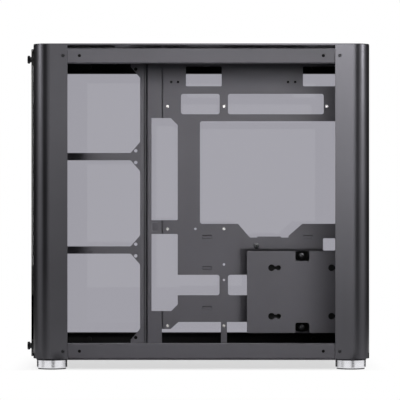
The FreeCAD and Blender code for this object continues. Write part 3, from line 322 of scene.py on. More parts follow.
def cylinderFrom(tree, radius, low, length, sides):
    made = addNode(tree, "GeometryNodeMeshCylinder", {"Vertices": sides, "Radius": radius, "Depth": length})
    middle = mathNode(tree, "ADD", low, mathNode(tree, "MULTIPLY", length, 0.5))
    return lifted(tree, made.outputs["Mesh"], middle)


def shankBelow(tree, given, sides):
    sunk = mathNode(tree, "MULTIPLY", given["Shank Length"], -1.0)
    return cylinderFrom(tree, given["Shank Radius"], sunk, given["Shank Length"], sides)


def joined(tree, *shapes):
    node = addNode(tree, "GeometryNodeJoinGeometry")
    for shape in reversed(shapes):
        tree.links.new(shape, node.inputs[0])
    return node.outputs[0]


def welded(tree, shape, distance):
    return nodeOut(tree, "GeometryNodeMergeByDistance", {"Geometry": shape, "Distance": distance})


def flipped(tree, shape):
    return nodeOut(tree, "GeometryNodeFlipFaces", {"Mesh": shape})


def extruded(tree, shape, distance, faces=None, single=False):
    # pulls out the chosen faces, all of them together or each as a single one; gives the shape and their tops
    settings = {"Mesh": shape, "Individual": single, "Offset Scale": distance}
    if faces is not None:
        settings["Selection"] = faces
    pulled = addNode(tree, "GeometryNodeExtrudeMesh", settings).outputs
    return pulled["Mesh"], pulled["Top"]


def scaledFaces(tree, shape, faces, scale):
    return nodeOut(tree, "GeometryNodeScaleElements", {"Geometry": shape, "Selection": faces, "Scale": scale})


def boolean(tree, operation, first, second):
    node = addNode(tree, "GeometryNodeMeshBoolean", operation=operation)
    if operation == "DIFFERENCE":
        tree.links.new(first, node.inputs["Mesh 1"])
        tree.links.new(second, node.inputs["Mesh 2"])
    else:
        tree.links.new(joined(tree, first, second), node.inputs["Mesh 2"])
    return node.outputs["Mesh"]


def closeTree(tree, given, shape, axis=None):
    # one copy of shape on each seat, its Z along axis, then real mesh in its finish
    settings = {"Points": given["Seats"], "Instance": shape}
    if axis is not None:
        settings["Rotation"] = nodeOut(tree, "FunctionNodeAlignRotationToVector", {"Vector": axis}, axis="Z")
    placed = nodeOut(tree, "GeometryNodeInstanceOnPoints", settings)
    real = nodeOut(tree, "GeometryNodeRealizeInstances", {"Geometry": placed})
    done = nodeOut(tree, "GeometryNodeSetMaterial", {"Geometry": real, "Material": given["Finish"]})
    tree.links.new(done, addNode(tree, "NodeGroupOutput").inputs[0])
    return tree


def finishPiece(piece):
    mesh = piece.data
    mesh.polygons.foreach_set("use_smooth", [True] * len(mesh.polygons))
    mesh.set_sharp_from_angle(angle=creaseAngle)
    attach(piece, "case")
    print(piece.name, len(mesh.polygons), "faces")


def growPiece(name, tree, seats, sizes, finish, stands=()):
    # stands: the frame's nodes that the piece stands in for
    mesh = bpy.data.meshes.new(name)
    mesh.from_pydata([tuple(seat) for seat in seats], [], [])
    piece = bpy.data.objects.new(name, mesh)
    scene.collection.objects.link(piece)
    modifier = piece.modifiers.new("grow", "NODES")
    modifier.node_group = tree
    given = {**sizes, "Finish": finish}
    for item in tree.interface.items_tree:
        if item.in_out == "INPUT" and item.name in given:
            modifier[item.identifier] = given[item.name]
    graph = bpy.context.evaluated_depsgraph_get()
    grown = bpy.data.meshes.new_from_object(piece.evaluated_get(graph))
    piece.modifiers.remove(modifier)
    piece.data = grown
    bpy.data.meshes.remove(mesh)
    finishPiece(piece)
    if stands:
        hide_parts(*stands)


def plainPiece(name, form, finish):
    mesh = bpy.data.meshes.new(name)
    bmesh.ops.recalc_face_normals(form, faces=form.faces)
    form.to_mesh(mesh)
    form.free()
    mesh.materials.append(finish)
    piece = bpy.data.objects.new(name, mesh)
    scene.collection.objects.link(piece)
    finishPiece(piece)


def circle(radius, sides):
    turns = [2 * math.pi * i / sides for i in range(sides)]
    return [(radius * math.cos(turn), radius * math.sin(turn)) for turn in turns]


def skinLoops(form, loops, capped):
    # walls from each loop to the next, with both ends capped or the last loop joined to the first
    for first, second in zip(loops, loops[1:] if capped else loops[1:] + loops[:1]):
        for i in range(len(first)):
            form.faces.new((first[i - 1], second[i - 1], second[i], first[i]))
    if capped:
        form.faces.new(loops[0])
        form.faces.new(loops[-1])


# Screws: each set sits where the frame's own screws are

# dome: rise of each step as a share of the head's height, and how far it narrows; arms in recess radii
socketForm = {"sides": 36, "wallShare": 0.55, "dome": ((0.25, 0.93), (0.14, 0.86), (0.06, 0.8)),
              "hexSides": 6, "armLength": 2.0, "armWidth": 0.5, "shankSides": 20}


def makeSocketScrewTree():
    # low domed head with a driver recess, and its shank; head grows along the axis from the seat
    tree, given = newTree("socketScrew", [
        ("Axis", "Vector"), ("Head Radius", "Float"), ("Head Height", "Float"), ("Recess Radius", "Float"),
        ("Recess Depth", "Float"), ("Shank Radius", "Float"), ("Shank Length", "Float"),
        ("Cross Recess", "Bool")])
    height, recess = given["Head Height"], given["Recess Radius"]
    disc = nodeOut(tree, "GeometryNodeMeshCircle", {"Vertices": socketForm["sides"],
                                                    "Radius": given["Head Radius"]}, fill_type="NGON")
    shape, top = extruded(tree, disc, mathNode(tree, "MULTIPLY", height, socketForm["wallShare"]))
    for rise, narrow in socketForm["dome"]:
        shape, top = extruded(tree, shape, mathNode(tree, "MULTIPLY", height, rise), top)
        shape = scaledFaces(tree, shape, top, narrow)
    head = welded(tree, joined(tree, shape, flipped(tree, disc)), screwWeld)
    pitFloor = mathNode(tree, "SUBTRACT", height, given["Recess Depth"])
    hexPit = cylinderFrom(tree, recess, pitFloor, height, socketForm["hexSides"])
    armLength = mathNode(tree, "MULTIPLY", recess, socketForm["armLength"])
    armWidth = mathNode(tree, "MULTIPLY", recess, socketForm["armWidth"])
    middle = mathNode(tree, "ADD", pitFloor, mathNode(tree, "MULTIPLY", height, 0.5))
    arms = []
    for first, second in ((armLength, armWidth), (armWidth, armLength)):
        size = nodeOut(tree, "ShaderNodeCombineXYZ", {"X": first, "Y": second, "Z": height})
        arms.append(lifted(tree, nodeOut(tree, "GeometryNodeMeshCube", {"Size": size}), middle))
    crossPit = boolean(tree, "UNION", *arms)
    pit = nodeOut(tree, "GeometryNodeSwitch", {"Switch": given["Cross Recess"], "False": hexPit,
                                               "True": crossPit}, input_type="GEOMETRY")
    cutHead = boolean(tree, "DIFFERENCE", head, pit)
    shank = shankBelow(tree, given, socketForm["shankSides"])
    return closeTree(tree, given, joined(tree, cutHead, shank), given["Axis"])


# steps: rise as a share of the head's height, and how far the top widens or narrows
thumbRim = 0.88
thumbForm = {"steps": ((0.12, 1.0 / thumbRim), (0.76, 1.0), (0.12, thumbRim), (0.0, 0.72), (-0.18, 0.9)),
             "neckSides": 32, "shankSides": 24}


def makeThumbscrewTree():
    # straight-knurled head with chamfered rims and a shallow dished top, on its neck and shank
    tree, given = newTree("knurledThumbscrew", [
        ("Axis", "Vector"), ("Head Radius", "Float"), ("Head Height", "Float"), ("Knurl Depth", "Float"),
        ("Teeth", "Int"), ("Neck Radius", "Float"), ("Neck Height", "Float"), ("Shank Radius", "Float"),
        ("Shank Length", "Float")])
    valley = mathNode(tree, "SUBTRACT", given["Head Radius"], given["Knurl Depth"])
    star = nodeOut(tree, "GeometryNodeCurveStar", {"Points": given["Teeth"], "Inner Radius": valley,
                                                   "Outer Radius": given["Head Radius"]})
    disc = nodeOut(tree, "GeometryNodeFillCurve", {"Curve": star}, mode="NGONS")
    slim = nodeOut(tree, "GeometryNodeTransform", {"Geometry": disc, "Scale": (thumbRim, thumbRim, 1.0)})
    shape, top = slim, None
    for rise, scale in thumbForm["steps"]:
        shape, top = extruded(tree, shape, mathNode(tree, "MULTIPLY", given["Head Height"], rise), top)
        shape = scaledFaces(tree, shape, top, scale)
    head = welded(tree, joined(tree, shape, flipped(tree, slim)), screwWeld)
    raised = lifted(tree, head, given["Neck Height"])
    neck = cylinderFrom(tree, given["Neck Radius"], 0.0, given["Neck Height"], thumbForm["neckSides"])
    shank = shankBelow(tree, given, thumbForm["shankSides"])
    return closeTree(tree, given, joined(tree, raised, neck, shank), given["Axis"])


socketScrew = makeSocketScrewTree()
knurledThumbscrew = makeThumbscrewTree()

columnScrews = {"Axis": (1.0, 0.0, 0.0), "Head Radius": 2.0 * mm, "Head Height": 1.0 * mm,
                "Recess Radius": 1.1 * mm, "Recess Depth": 0.7 * mm, "Shank Radius": 1.3 * mm,
                "Shank Length": 4.2 * mm, "Cross Recess": False}
seatX = corners("column_screws")[1].x - columnScrews["Head Height"]
growPiece("columnScrewSet", socketScrew,
          cornerSeats("column_screws", alongX, seatX, columnScrews["Head Radius"]),
          columnScrews, blackScrew, stands=["column_screws"])

panHead = {"Head Radius": 3.6 * mm, "Head Height": 2.0 * mm, "Recess Radius": 1.7 * mm,
           "Recess Depth": 1.3 * mm, "Shank Radius": 1.5 * mm, "Cross Recess": True}
headRadius, headHeight = panHead["Head Radius"], panHead["Head Height"]

footScrews = {**panHead, "Axis": (0.0, 0.0, 1.0), "Shank Length": 8.6 * mm}
seatZ = corners("foot_screws")[1].z - headHeight
growPiece("footScrewSet", socketScrew, cornerSeats("foot_screws", alongZ, seatZ, headRadius),
          footScrews, blackScrew, stands=["foot_screws"])

driveScrews = {**panHead, "Axis": (1.0, 0.0, 0.0), "Shank Length": 3.4 * mm, "tabRise": 12.0 * mm}
driveSeatX = corners("drive_plate_screws")[1].x - headHeight
tabY, flapY = rowEnds("drive_plate_screws", alongY, headRadius)
flapLowZ, tabZ = rowEnds("drive_plate_screws", alongZ, headRadius)
plateLow, plateHigh = corners("drive_plate")
plateTop = plateHigh.z - driveScrews["tabRise"]
flapHighZ = plateTop - (flapLowZ - plateLow.z)
growPiece("driveScrewSet", socketScrew,
          [(driveSeatX, tabY, tabZ), (driveSeatX, flapY, flapHighZ), (driveSeatX, flapY, flapLowZ)],
          driveScrews, greyScrew, stands=["drive_plate_screws"])

slotScrews = {**panHead, "count": 7, "Axis": (-1.0, 0.0, 0.0), "Shank Length": 2.9 * mm}
slotSeat = corners("slot_cover_screws")[0] + Vector((headHeight, headRadius, 0.0))
lowZ, highZ = rowEnds("slot_cover_screws", alongZ, headRadius)
slotPitch = (highZ - lowZ) / (slotScrews["count"] - 1)
growPiece("slotScrewSet", socketScrew,
          [(slotSeat.x, slotSeat.y, lowZ + i * slotPitch) for i in range(slotScrews["count"])],
          slotScrews, blackScrew, stands=["slot_cover_screws"])

supplyScrews = {**panHead, "Axis": (0.0, 1.0, 0.0), "Shank Length": 3.2 * mm}
seatY = corners("psu_plate_screws")[1].y - headHeight
growPiece("supplyScrewSet", socketScrew, cornerSeats("psu_plate_screws", alongY, seatY, headRadius),
          supplyScrews, blackScrew, stands=["psu_plate_screws"])

thumbscrews = {"Axis": (0.0, -1.0, 0.0), "Head Radius": 5.0 * mm, "Head Height": 3.2 * mm,
               "Knurl Depth": 0.45 * mm, "Teeth": 36, "Neck Radius": 3.5 * mm, "Neck Height": 1.7 * mm,
               "Shank Radius": 1.75 * mm, "Shank Length": 10.2 * mm}
seatY = corners("front_thumbscrews")[0].y + thumbscrews["Head Height"] + thumbscrews["Neck Height"]
growPiece("frontThumbscrewSet", knurledThumbscrew,
          cornerSeats("front_thumbscrews", alongY, seatY, thumbscrews["Head Radius"]),
          thumbscrews, blackScrew, stands=["front_thumbscrews"])


# Filter meshes, inside the frames of the two dust filters

def makeFilterMeshTree():
    # thin sheet punched with a close grid of square holes
    tree, given = newTree("filterMesh", [("Width", "Float"), ("Length", "Float"), ("Columns", "Int"),
                                         ("Rows", "Int"), ("Open Share", "Float"), ("Thickness", "Float")])
    grid = nodeOut(tree, "GeometryNodeMeshGrid", {
        "Size X": given["Width"], "Size Y": given["Length"], "Vertices X": given["Columns"],
        "Vertices Y": given["Rows"]})
    holed, holes = extruded(tree, grid, 0.0, single=True)
    narrowed = scaledFaces(tree, holed, holes, given["Open Share"])
    punched = nodeOut(tree, "GeometryNodeDeleteGeometry", {"Geometry": narrowed, "Selection": holes},
                      domain="FACE")
    webs = welded(tree, punched, filterWeld)
    raised, _ = extruded(tree, webs, given["Thickness"])
    return closeTree(tree, given, welded(tree, joined(tree, raised, flipped(tree, webs)), filterWeld))


filterMesh = makeFilterMeshTree()
filterSheet = {"frame": 4.6 * mm, "pitch": 2.6 * mm, "lift": 0.17 * mm, "Open Share": 0.68,
               "Thickness": 0.16 * mm}
for name in ("top_filter", "bottom_filter"):
    low, high = corners(name)
    width, length = (high[axis] - low[axis] - 2 * filterSheet["frame"] for axis in (alongX, alongY))
    sizes = {**filterSheet, "Width": width, "Length": length,
             "Columns": int(width / filterSheet["pitch"]) + 1, "Rows": int(length / filterSheet["pitch"]) + 1}
    seatZ = low.z + filterSheet["lift"]
    if name == "top_filter":
        seatZ = high.z - filterSheet["lift"] - filterSheet["Thickness"]
    middle = boxMiddle(name)
    growPiece(name.split("_")[0] + "FilterMesh", filterMesh, [(middle.x, middle.y, seatZ)], sizes,
              filterNylon)


# Ports: moulded tongues with plated contacts in the USB shells, and a flanged sleeve in the jack

contactForm = {"tipFacing": 0.9, "tipScale": 0.45}


def makeContactTree():
    # flat spring contact with a tapered tip
    tree, given = newTree("portContact", [("Thickness", "Float"), ("Width", "Float"), ("Length", "Float")])
    size = nodeOut(tree, "ShaderNodeCombineXYZ", {"X": given["Thickness"], "Y": given["Width"],
                                                  "Z": given["Length"]})
    bar = nodeOut(tree, "GeometryNodeMeshCube", {"Size": size})
    normal = nodeOut(tree, "GeometryNodeInputNormal")
    facing = addNode(tree, "ShaderNodeSeparateXYZ", {"Vector": normal}).outputs["Z"]
    tip = mathNode(tree, "GREATER_THAN", facing, contactForm["tipFacing"])
    nosed, nose = extruded(tree, bar, given["Width"], tip)
    return closeTree(tree, given, scaledFaces(tree, nosed, nose, contactForm["tipScale"]))


portContact = makeContactTree()
portDetail = {"endGap": 1.8 * mm, "depth": 2.0 * mm, "skin": 0.06 * mm, "round": 0.16 * mm, "roundSteps": 2,
              "tipGap": 0.9 * mm, "Thickness": 0.1 * mm}
usbA = {"ports": ("usb_a_port_front", "usb_a_port_rear"), "thick": 1.9 * mm, "aside": 1.1 * mm, "contacts": 4,
        "pitch": 2.3 * mm, "faces": (-1,), "Width": 1.0 * mm, "Length": 5.6 * mm}
usbC = {"ports": ("usb_c_port",), "thick": 0.7 * mm, "aside": 0.0, "contacts": 10, "pitch": 0.5 * mm,
        "faces": (-1, 1), "Width": 0.26 * mm, "Length": 3.0 * mm}
tongues = bmesh.new()
for kind, port in (("usbA", usbA), ("usbC", usbC)):
    seats = []
    half = port["thick"] / 2 + portDetail["skin"]
    for name in port["ports"]:
        low, high = corners(name)
        middle = boxMiddle(name)
        tipZ = high.z - portDetail["depth"] + portDetail["skin"]
        size = Vector((2 * half, high.y - low.y - 2 * (portDetail["endGap"] - portDetail["skin"]),
                       tipZ - low.z - portDetail["depth"]))
        centre = Vector((middle.x + port["aside"], middle.y, tipZ - size.z / 2))
        made = bmesh.ops.create_cube(tongues, size=1.0, matrix=Matrix.LocRotScale(centre, None, size))
        edges = dict.fromkeys(edge for vert in made["verts"] for edge in vert.link_edges)
        bmesh.ops.bevel(tongues, geom=list(edges), offset=portDetail["round"],
                        segments=portDetail["roundSteps"], affect="EDGES")
        for face in port["faces"]:
            for i in range(port["contacts"]):
                y = middle.y + (i - (port["contacts"] - 1) / 2) * port["pitch"]
                seats.append((centre.x + face * half, y, tipZ - portDetail["tipGap"] - port["Length"] / 2))
    growPiece(kind + "Contacts", portContact, seats, {**port, "Thickness": portDetail["Thickness"]},
              platedGold)
plainPiece("portTongues", tongues, portPlastic)

# profile: radius and rise above the jack's top in millimetres, once round the sleeve's section
jackSleeve = {"sides": 48, "profile": ((3.0, 0.0), (3.0, 0.08), (2.9, 0.14), (2.15, 0.14), (1.72, -0.12),
                                       (1.72, -3.0), (1.79, -3.0), (1.79, 0.0))}
middle, topZ = boxMiddle("audio_jack"), corners("audio_jack")[1].z
sleeve = bmesh.new()
loops = [[sleeve.verts.new((middle.x + a, middle.y + b, topZ + rise * mm))
          for a, b in circle(radius * mm, jackSleeve["sides"])] for radius, rise in jackSleeve["profile"]]
skinLoops(sleeve, loops, capped=False)
plainPiece("jackSleeve", sleeve, brightSteel)


# Drive plate: a near-black rubber cup behind each keyhole, and a near-black rubber pad round the screw on
# each notched leg: painted shade that darkens the keyholes and the notches

keyCup = {"wide": 4.3 * mm, "narrow": 3.3 * mm, "step": 8.8 * mm, "neck": 2.0 * mm, "arc": 20,
          "wall": 1.4 * mm, "depth": 9.2 * mm, "floor": 1.2 * mm, "sheet": 1.2 * mm,
          "fromRear": 100.04 * mm, "rowRise": 21.2 * mm, "pitch": (76.6 * mm, 61.72 * mm)}


def keyOutline(grow):
    # wide hole, neck and narrow hole as one loop round (0, 0), grown on all sides
    ends = ((0.0, keyCup["wide"] + grow, 0.0), (keyCup["step"], keyCup["narrow"] + grow, math.pi))
    loop = []
    for middle, radius, turn in ends:
        gap = math.asin((keyCup["neck"] + grow) / radius)
        for i in range(keyCup["arc"] + 1):
            angle = turn + gap + (2 * math.pi - 2 * gap) * i / keyCup["arc"]
            loop.append((middle + radius * math.cos(angle), radius * math.sin(angle)))
    return loop


# how far each loop lies outside the keyhole and behind the sheet, from the cup's inner floor round its rim
cupLevels = ((0.0, keyCup["floor"] - keyCup["depth"]), (0.0, 0.0), (keyCup["wall"], 0.0),
             (keyCup["wall"], -keyCup["depth"]))
backX = plateHigh.x - keyCup["sheet"]
cups = bmesh.new()
for i in (0, 1):
    for j in (0, 1):
        y = plateHigh.y - keyCup["fromRear"] + keyCup["pitch"][0] * i
        z = plateLow.z + keyCup["rowRise"] + keyCup["pitch"][1] * j
        loops = [[cups.verts.new((backX + x, y + a, z + b)) for a, b in keyOutline(grow)]
                 for grow, x in cupLevels]
        skinLoops(cups, loops, capped=True)
plainPiece("keyholeShadeCups", cups, rubberAndPaintedShade)

legPad = {"width": 16.2 * mm, "height": 12.0 * mm, "thick": 0.8 * mm, "hole": 3.8 * mm, "corner": 2.0 * mm,
          "points": 48}


def padOutline():
    # rounded rectangle, one point for each step of angle
    halfWide, halfHigh = legPad["width"] / 2 - legPad["corner"], legPad["height"] / 2 - legPad["corner"]
    loop = []
    for across, up in circle(1.0, legPad["points"]):
        reach = legPad["corner"] + 1.0 / max(abs(across) / halfWide, abs(up) / halfHigh)
        loop.append((across * reach, up * reach))
    return loop


rim, hole = padOutline(), circle(legPad["hole"], legPad["points"])
pads = bmesh.new()
for z in (flapLowZ, flapHighZ):
    loops = [[pads.verts.new((driveSeatX + x, flapY + a, z + b)) for a, b in outline]
             for outline, x in ((rim, 0.0), (rim, legPad["thick"]), (hole, legPad["thick"]), (hole, 0.0))]
    skinLoops(pads, loops, capped=False)
plainPiece("legShadePads", pads, rubberAndPaintedShade)


# Motherboard tray: a threaded sleeve inside each of the four blind nuts, near black: painted shade for the
# dark of their bores

nutSleeve = {"outer": 1.595 * mm, "root": 1.55 * mm, "crest": 1.28 * mm, "pitch": 0.6 * mm, "turns": 14,
             "mouth": 0.3 * mm, "floor": 0.2 * mm, "sides": 32, "fromTop": 38.0 * mm,
             "fromFront": (10.47 * mm, 19.17 * mm), "fromRear": (84.7 * mm, 75.4 * mm)}
trayLow, trayHigh = corners("motherboard_tray")
trayFace = corners("side_fan_bracket")[1].x
sleeveEnd = -nutSleeve["mouth"] - nutSleeve["turns"] * nutSleeve["pitch"]
profile = [(nutSleeve["outer"], sleeveEnd - nutSleeve["floor"]), (nutSleeve["outer"], -nutSleeve["mouth"])]
for i in range(nutSleeve["turns"]):
    depth = -nutSleeve["mouth"] - i * nutSleeve["pitch"]
    profile += [(nutSleeve["root"], depth), (nutSleeve["crest"], depth - nutSleeve["pitch"] / 2)]
profile.append((nutSleeve["root"], sleeveEnd))
nutZ = trayHigh.z - nutSleeve["fromTop"]
nutsY = [trayLow.y + step for step in nutSleeve["fromFront"]]
nutsY += [trayHigh.y - step for step in nutSleeve["fromRear"]]
sleeves = bmesh.new()
for y in nutsY:
    loops = [[sleeves.verts.new((trayFace + x, y + a, nutZ + b))
              for a, b in circle(radius, nutSleeve["sides"])] for radius, x in profile]
    skinLoops(sleeves, loops, capped=True)
plainPiece("nutShadeSleeves", sleeves, paintedShadeBlack)


# Floor and backdrop

def stageQuad(name, points, paint):
    mesh = bpy.data.meshes.new(name)
    mesh.from_pydata([tuple(point) for point in points], [], [(0, 1, 2, 3)])
    mesh.materials.append(paint)
    quad = bpy.data.objects.new(name, mesh)
    scene.collection.objects.link(quad)
    return quad


def seenRays(tree):
    # rays that show the backdrop itself: straight to the camera, by reflection or through glass
    path = addNode(tree, "ShaderNodeLightPath").outputs
    opaque = mathNode(tree, "MAXIMUM", path["Is Camera Ray"], path["Is Glossy Ray"])
    return mathNode(tree, "MAXIMUM", opaque, path["Is Transmission Ray"])


def diffusePaint(tree, level):
    return nodeOut(tree, "ShaderNodeBsdfDiffuse", {"Color": (level, level, level, 1.0)})


def smoothShare(tree, value, reach, low=0.0, high=1.0):
    return nodeOut(tree, "ShaderNodeMapRange", {
        "Value": value, "From Min": reach[0], "From Max": reach[1], "To Min": low, "To Max": high},
        interpolation_type="SMOOTHSTEP")


# shadowReach is in half footprints of the case, measured from its middle
floorLook = {"half": 6.0, "glow": 0.66, "paint": 0.9, "bounce": 0.08, "shadowReach": (0.76, 1.14)}


def makeFloorPaint():
    # white to the eye apart from the shadow near the case, which fades out to plain white: real shadow, with
    # painted shade where the glow share drops towards the case; bounces see a duller paint
    material, tree, shader = startMaterial("paleFloorPaint")
    tree.nodes.remove(shader)
    place = addNode(tree, "ShaderNodeNewGeometry").outputs["Position"]
    footprint = (1.0 / cadBox[1][0], 1.0 / cadBox[1][1], 0.0)
    scaled = vectorNode(tree, "MULTIPLY", place, footprint)["Vector"]
    away = vectorNode(tree, "ABSOLUTE", scaled)["Vector"]
    sides = addNode(tree, "ShaderNodeSeparateXYZ", {"Vector": away}).outputs
    glowShare = smoothShare(tree, mathNode(tree, "MAXIMUM", sides["X"], sides["Y"]), floorLook["shadowReach"],
                            floorLook["glow"])
    glow = nodeOut(tree, "ShaderNodeEmission", {"Strength": 1.0})
    paint, bounce = (diffusePaint(tree, floorLook[label]) for label in ("paint", "bounce"))
    shown = nodeOut(tree, "ShaderNodeMixShader", {0: glowShare, 1: paint, 2: glow})
    mixed = nodeOut(tree, "ShaderNodeMixShader", {0: seenRays(tree), 1: bounce, 2: shown})
    tree.links.new(mixed, tree.nodes["Material Output"].inputs["Surface"])
    return material


reach = floorLook["half"]
stageQuad("paleFloor", [(-reach, -reach, 0), (reach, -reach, 0), (reach, reach, 0), (-reach, reach, 0)],
          makeFloorPaint())

worldLook = {"ambient": 0.02, "backdrop": 1.0}
world = bpy.data.worlds.new("studio")
scene.world = world
world.use_nodes = True
skyTree = world.node_tree
sky = skyTree.nodes["Background"]
setSockets(sky, {"Color": (1.0, 1.0, 1.0, 1.0)})
level = nodeOut(skyTree, "ShaderNodeMapRange", {"Value": seenRays(skyTree), "To Min": worldLook["ambient"],
                                                "To Max": worldLook["backdrop"]})
skyTree.links.new(level, sky.inputs["Strength"])


# Lamps

def areaLamp(name, place, target, width, height, power, lights="all", beam=180.0):
    # lights: "all", "mirrors" for shiny surfaces alone, or "paint" for dull ones alone
    lamp = bpy.data.lights.new(name, "AREA")
    lamp.shape = "RECTANGLE"
    lamp.size, lamp.size_y, lamp.energy = width, height, power
    lamp.spread = math.radians(beam)
    holder = bpy.data.objects.new(name, lamp)
    holder.location = place
    holder.rotation_euler = (Vector(target) - Vector(place)).to_track_quat("-Z", "Y").to_euler()
    holder.visible_camera = False
    holder.visible_diffuse = lights != "mirrors"
    holder.visible_glossy = holder.visible_transmission = lights != "paint"
    scene.collection.objects.link(holder)


# soft light from the open side: strips round the lens, so that flat faces mirror the grey wall between them
frontLight = {"x": 1.25, "aimShare": 0.3, "aimZ": 0.2, "strips": {
    "rearStrip": {"y": (0.0, 0.58), "z": (0.47, 0.85), "glow": 8.7},
    "frontStrip": {"y": (-0.58, 0.0), "z": (0.60, 0.98), "glow": 1.9},
    "rearSideStrip": {"y": (0.25, 0.42), "z": (0.10, 0.44), "glow": 5.0},
    "frontSideStrip": {"y": (-0.42, -0.25), "z": (0.10, 0.44), "glow": 2.1}}}
for name, strip in frontLight["strips"].items():
    (y0, y1), (z0, z1) = strip["y"], strip["z"]
    width, height, middleY = y1 - y0, z1 - z0, (y0 + y1) / 2
    areaLamp(name, (frontLight["x"], middleY, (z0 + z1) / 2),
             (0.0, frontLight["aimShare"] * middleY, frontLight["aimZ"]), width, height,
             strip["glow"] * math.pi * width * height, "mirrors")

lamps = {
    "rearSideLamp": {"place": (0.55, 1.75, 0.95), "target": (0.12, 0.2, 0.35), "width": 0.45, "height": 0.9,
                     "power": 28.0, "lights": "mirrors"},
    "frontSideLamp": {"place": (0.55, -1.75, 0.95), "target": (0.12, -0.2, 0.35), "width": 0.40,
                      "height": 0.9, "power": 13.0, "lights": "mirrors"},
    "topLamp": {"place": (-0.3, 0.0, 2.1), "target": (0.0, 0.0, 0.3), "width": 1.6, "height": 1.6,
                "power": 22.0},
    "glassSideLamp": {"place": (-2.0, 0.5, 1.2), "target": (0.0, 0.0, 0.2), "width": 1.4, "height": 1.0,
                      "power": 20.0},
    "rearLamp": {"place": (-0.6, 2.3, 1.1), "target": (0.0, 0.1, 0.2), "width": 1.2, "height": 1.0,
                 "power": 14.0},
    "frontLamp": {"place": (-0.6, -2.3, 1.1), "target": (0.0, -0.1, 0.2), "width": 1.2, "height": 1.0,
                  "power": 14.0}}
for name, lamp in lamps.items():
    areaLamp(name, **lamp)

# broad soft light for painted surfaces, mostly from the rear side of the lens
paintLamps = {
    "paintRear": {"place": (1.05, 0.38, 0.50), "target": (0.1, 0.08, 0.40), "width": 0.74, "height": 0.26,
                  "power": 1.45, "beam": 82.0},
    "paintFront": {"place": (1.1, -0.42, 0.50), "target": (0.1, 0.02, 0.40), "width": 0.5, "height": 0.26,
                   "power": 0.62, "beam": 82.0},
    "paintLow": {"place": (0.95, 0.45, 0.06), "target": (0.1, 0.13, 0.09), "width": 0.3, "height": 0.1,
                 "power": 0.03, "beam": 34.0}}
for name, lamp in paintLamps.items():
    areaLamp(name, lights="paint", **lamp)


# Cards round the case, which the camera doesn't see

def cardMaterial(name, glow):
    material, _, shader = startMaterial(name)
    setSockets(shader, {"Base Color": (0.0, 0.0, 0.0, 1.0), "Roughness": 1.0, "Specular IOR Level": 0.0,
                        "Emission Color": (1.0, 1.0, 1.0, 1.0), "Emission Strength": glow})
    return material


def fadingMaterial(name, fade):
    # black that fades in between two distances from the middle of the floor
    material = cardMaterial(name, 0.0)
    tree = material.node_tree
    place = addNode(tree, "ShaderNodeNewGeometry").outputs["Position"]
    share = smoothShare(tree, vectorNode(tree, "LENGTH", place)["Value"], fade)
    clear = nodeOut(tree, "ShaderNodeBsdfTransparent")
    black = tree.nodes["Principled BSDF"].outputs[0]
    mixed = nodeOut(tree, "ShaderNodeMixShader", {0: share, 1: clear, 2: black})
    tree.links.new(mixed, tree.nodes["Material Output"].inputs["Surface"])
    return material


floorCard = {"x": (-2.0, 2.6), "y": (-2.0, 2.0), "fade": (0.35, 0.9)}
cardLift = 0.5 * mm
cardGlow = {"black": 0.004, "dim": 0.2, "grey": 0.55}
cardPaints = {name: cardMaterial(name + "Card", glow) for name, glow in cardGlow.items()}
cardPaints["fading"] = fadingMaterial("fadingCard", floorCard["fade"])


def stageCard(name, paint, points, shades=False):
    # card that only reflections see, or one that only shades
    card = stageQuad(name, points, cardPaints[paint])
    card.visible_camera = card.visible_transmission = False
    card.visible_shadow = card.visible_diffuse = shades
    card.visible_glossy = not shades


def standingCard(name, paint, bearing, distance, width, height):
    # bearing in degrees from the open side towards the rear
    away = Vector((math.cos(math.radians(bearing)), math.sin(math.radians(bearing)), 0.0))
    along, up = Vector((-away.y, away.x, 0.0)) * width / 2, Vector((0.0, 0.0, height))
    middle = away * distance
    stageCard(name, paint, [middle - along, middle + along, middle + along + up, middle - along + up])


cards = {
    "cardLensWall": {"paint": "grey", "bearing": 0.0, "distance": 2.6, "width": 3.4, "height": 2.4},
    "cardRearNear": {"paint": "black", "bearing": 38.0, "distance": 1.9, "width": 0.7, "height": 1.8},
    "cardFrontNear": {"paint": "black", "bearing": -42.0, "distance": 1.9, "width": 0.9, "height": 1.8},
    "cardRearFar": {"paint": "black", "bearing": 134.0, "distance": 1.9, "width": 3.5, "height": 1.8},
    "cardFrontFar": {"paint": "black", "bearing": -134.0, "distance": 1.9, "width": 3.5, "height": 1.8}}
for name, card in cards.items():
    standingCard(name, **card)

# black floor for reflections, fading in away from the case so that the glass shows no edge of it
(x0, x1), (y0, y1) = floorCard["x"], floorCard["y"]
stageCard("cardFloor", "fading", [(x, y, cardLift) for x, y in ((x0, y0), (x1, y0), (x1, y1), (x0, y1))])

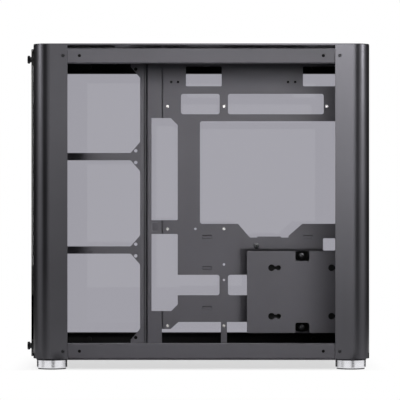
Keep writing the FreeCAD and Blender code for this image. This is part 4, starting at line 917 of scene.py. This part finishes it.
# low curved cards round the near feet, which the turned metal mirrors as upright bands; arcs in degrees
footBands = {"radius": 0.045, "height": 0.018, "step": 12.0, "arcs": (
    ("dim", 1.0, 18.0), ("grey", -66.0, -46.0), ("black", 100.0, 180.0), ("black", -180.0, -100.0))}
for foot in ("foot_front_right", "foot_rear_right"):
    middle = boxMiddle(foot)
    for paint, first, last in footBands["arcs"]:
        count = math.ceil((last - first) / footBands["step"])
        for i in range(count):
            turns = [math.radians(first + (last - first) * (i + j) / count) for j in (0, 1)]
            start, end = [(middle.x + footBands["radius"] * math.cos(turn),
                           middle.y + footBands["radius"] * math.sin(turn)) for turn in turns]
            stageCard(f"cardBand_{foot}_{first:.0f}_{i}", paint,
                      [(*start, cardLift), (*end, cardLift), (*end, footBands["height"]),
                       (*start, footBands["height"])])

# flags that hold the lamps off the tray round the drive plate, and off the ends beside the near columns:
# unseen cards that cast painted shade there
plateFlag = {"standOff": 10.0 * mm, "pastFront": 6.0 * mm, "pastRear": 10.0 * mm, "pastTop": 5.5 * mm}
columnFlag = {"z": (0.03, 0.385), "frontOff": 20.0 * mm, "frontY": (-0.205, -0.138), "rearOff": 14.0 * mm,
              "rearY": (0.176, 0.205)}
flags = {
    "flagDrivePlate": {"x": plateLow.x + plateFlag["standOff"],
                       "y": (plateLow.y - plateFlag["pastFront"], plateHigh.y + plateFlag["pastRear"]),
                       "z": (plateLow.z, plateTop + plateFlag["pastTop"])},
    "flagFrontColumn": {"x": trayFace + columnFlag["frontOff"], "y": columnFlag["frontY"],
                        "z": columnFlag["z"]},
    "flagRearColumn": {"x": plateHigh.x + columnFlag["rearOff"], "y": columnFlag["rearY"],
                       "z": columnFlag["z"]}}
for name, flag in flags.items():
    x, (y0, y1), (z0, z1) = flag["x"], flag["y"], flag["z"]
    stageCard(name, "black", [(x, y0, z0), (x, y1, z0), (x, y1, z1), (x, y0, z1)], shades=True)


# Camera

cameraLook = {"lens": 231.2, "sensor": 36.0, "place": (3.3425, 0.00255, 0.2117), "turn": (90.0, 0.0, 90.0)}
cameraData = bpy.data.cameras.new("photoCamera")
cameraData.lens, cameraData.sensor_width = cameraLook["lens"], cameraLook["sensor"]
camera = bpy.data.objects.new("photoCamera", cameraData)
camera.location = cameraLook["place"]
camera.rotation_euler = [math.radians(angle) for angle in cameraLook["turn"]]
scene.collection.objects.link(camera)
scene.camera = camera
print("stage, lamps and camera set")
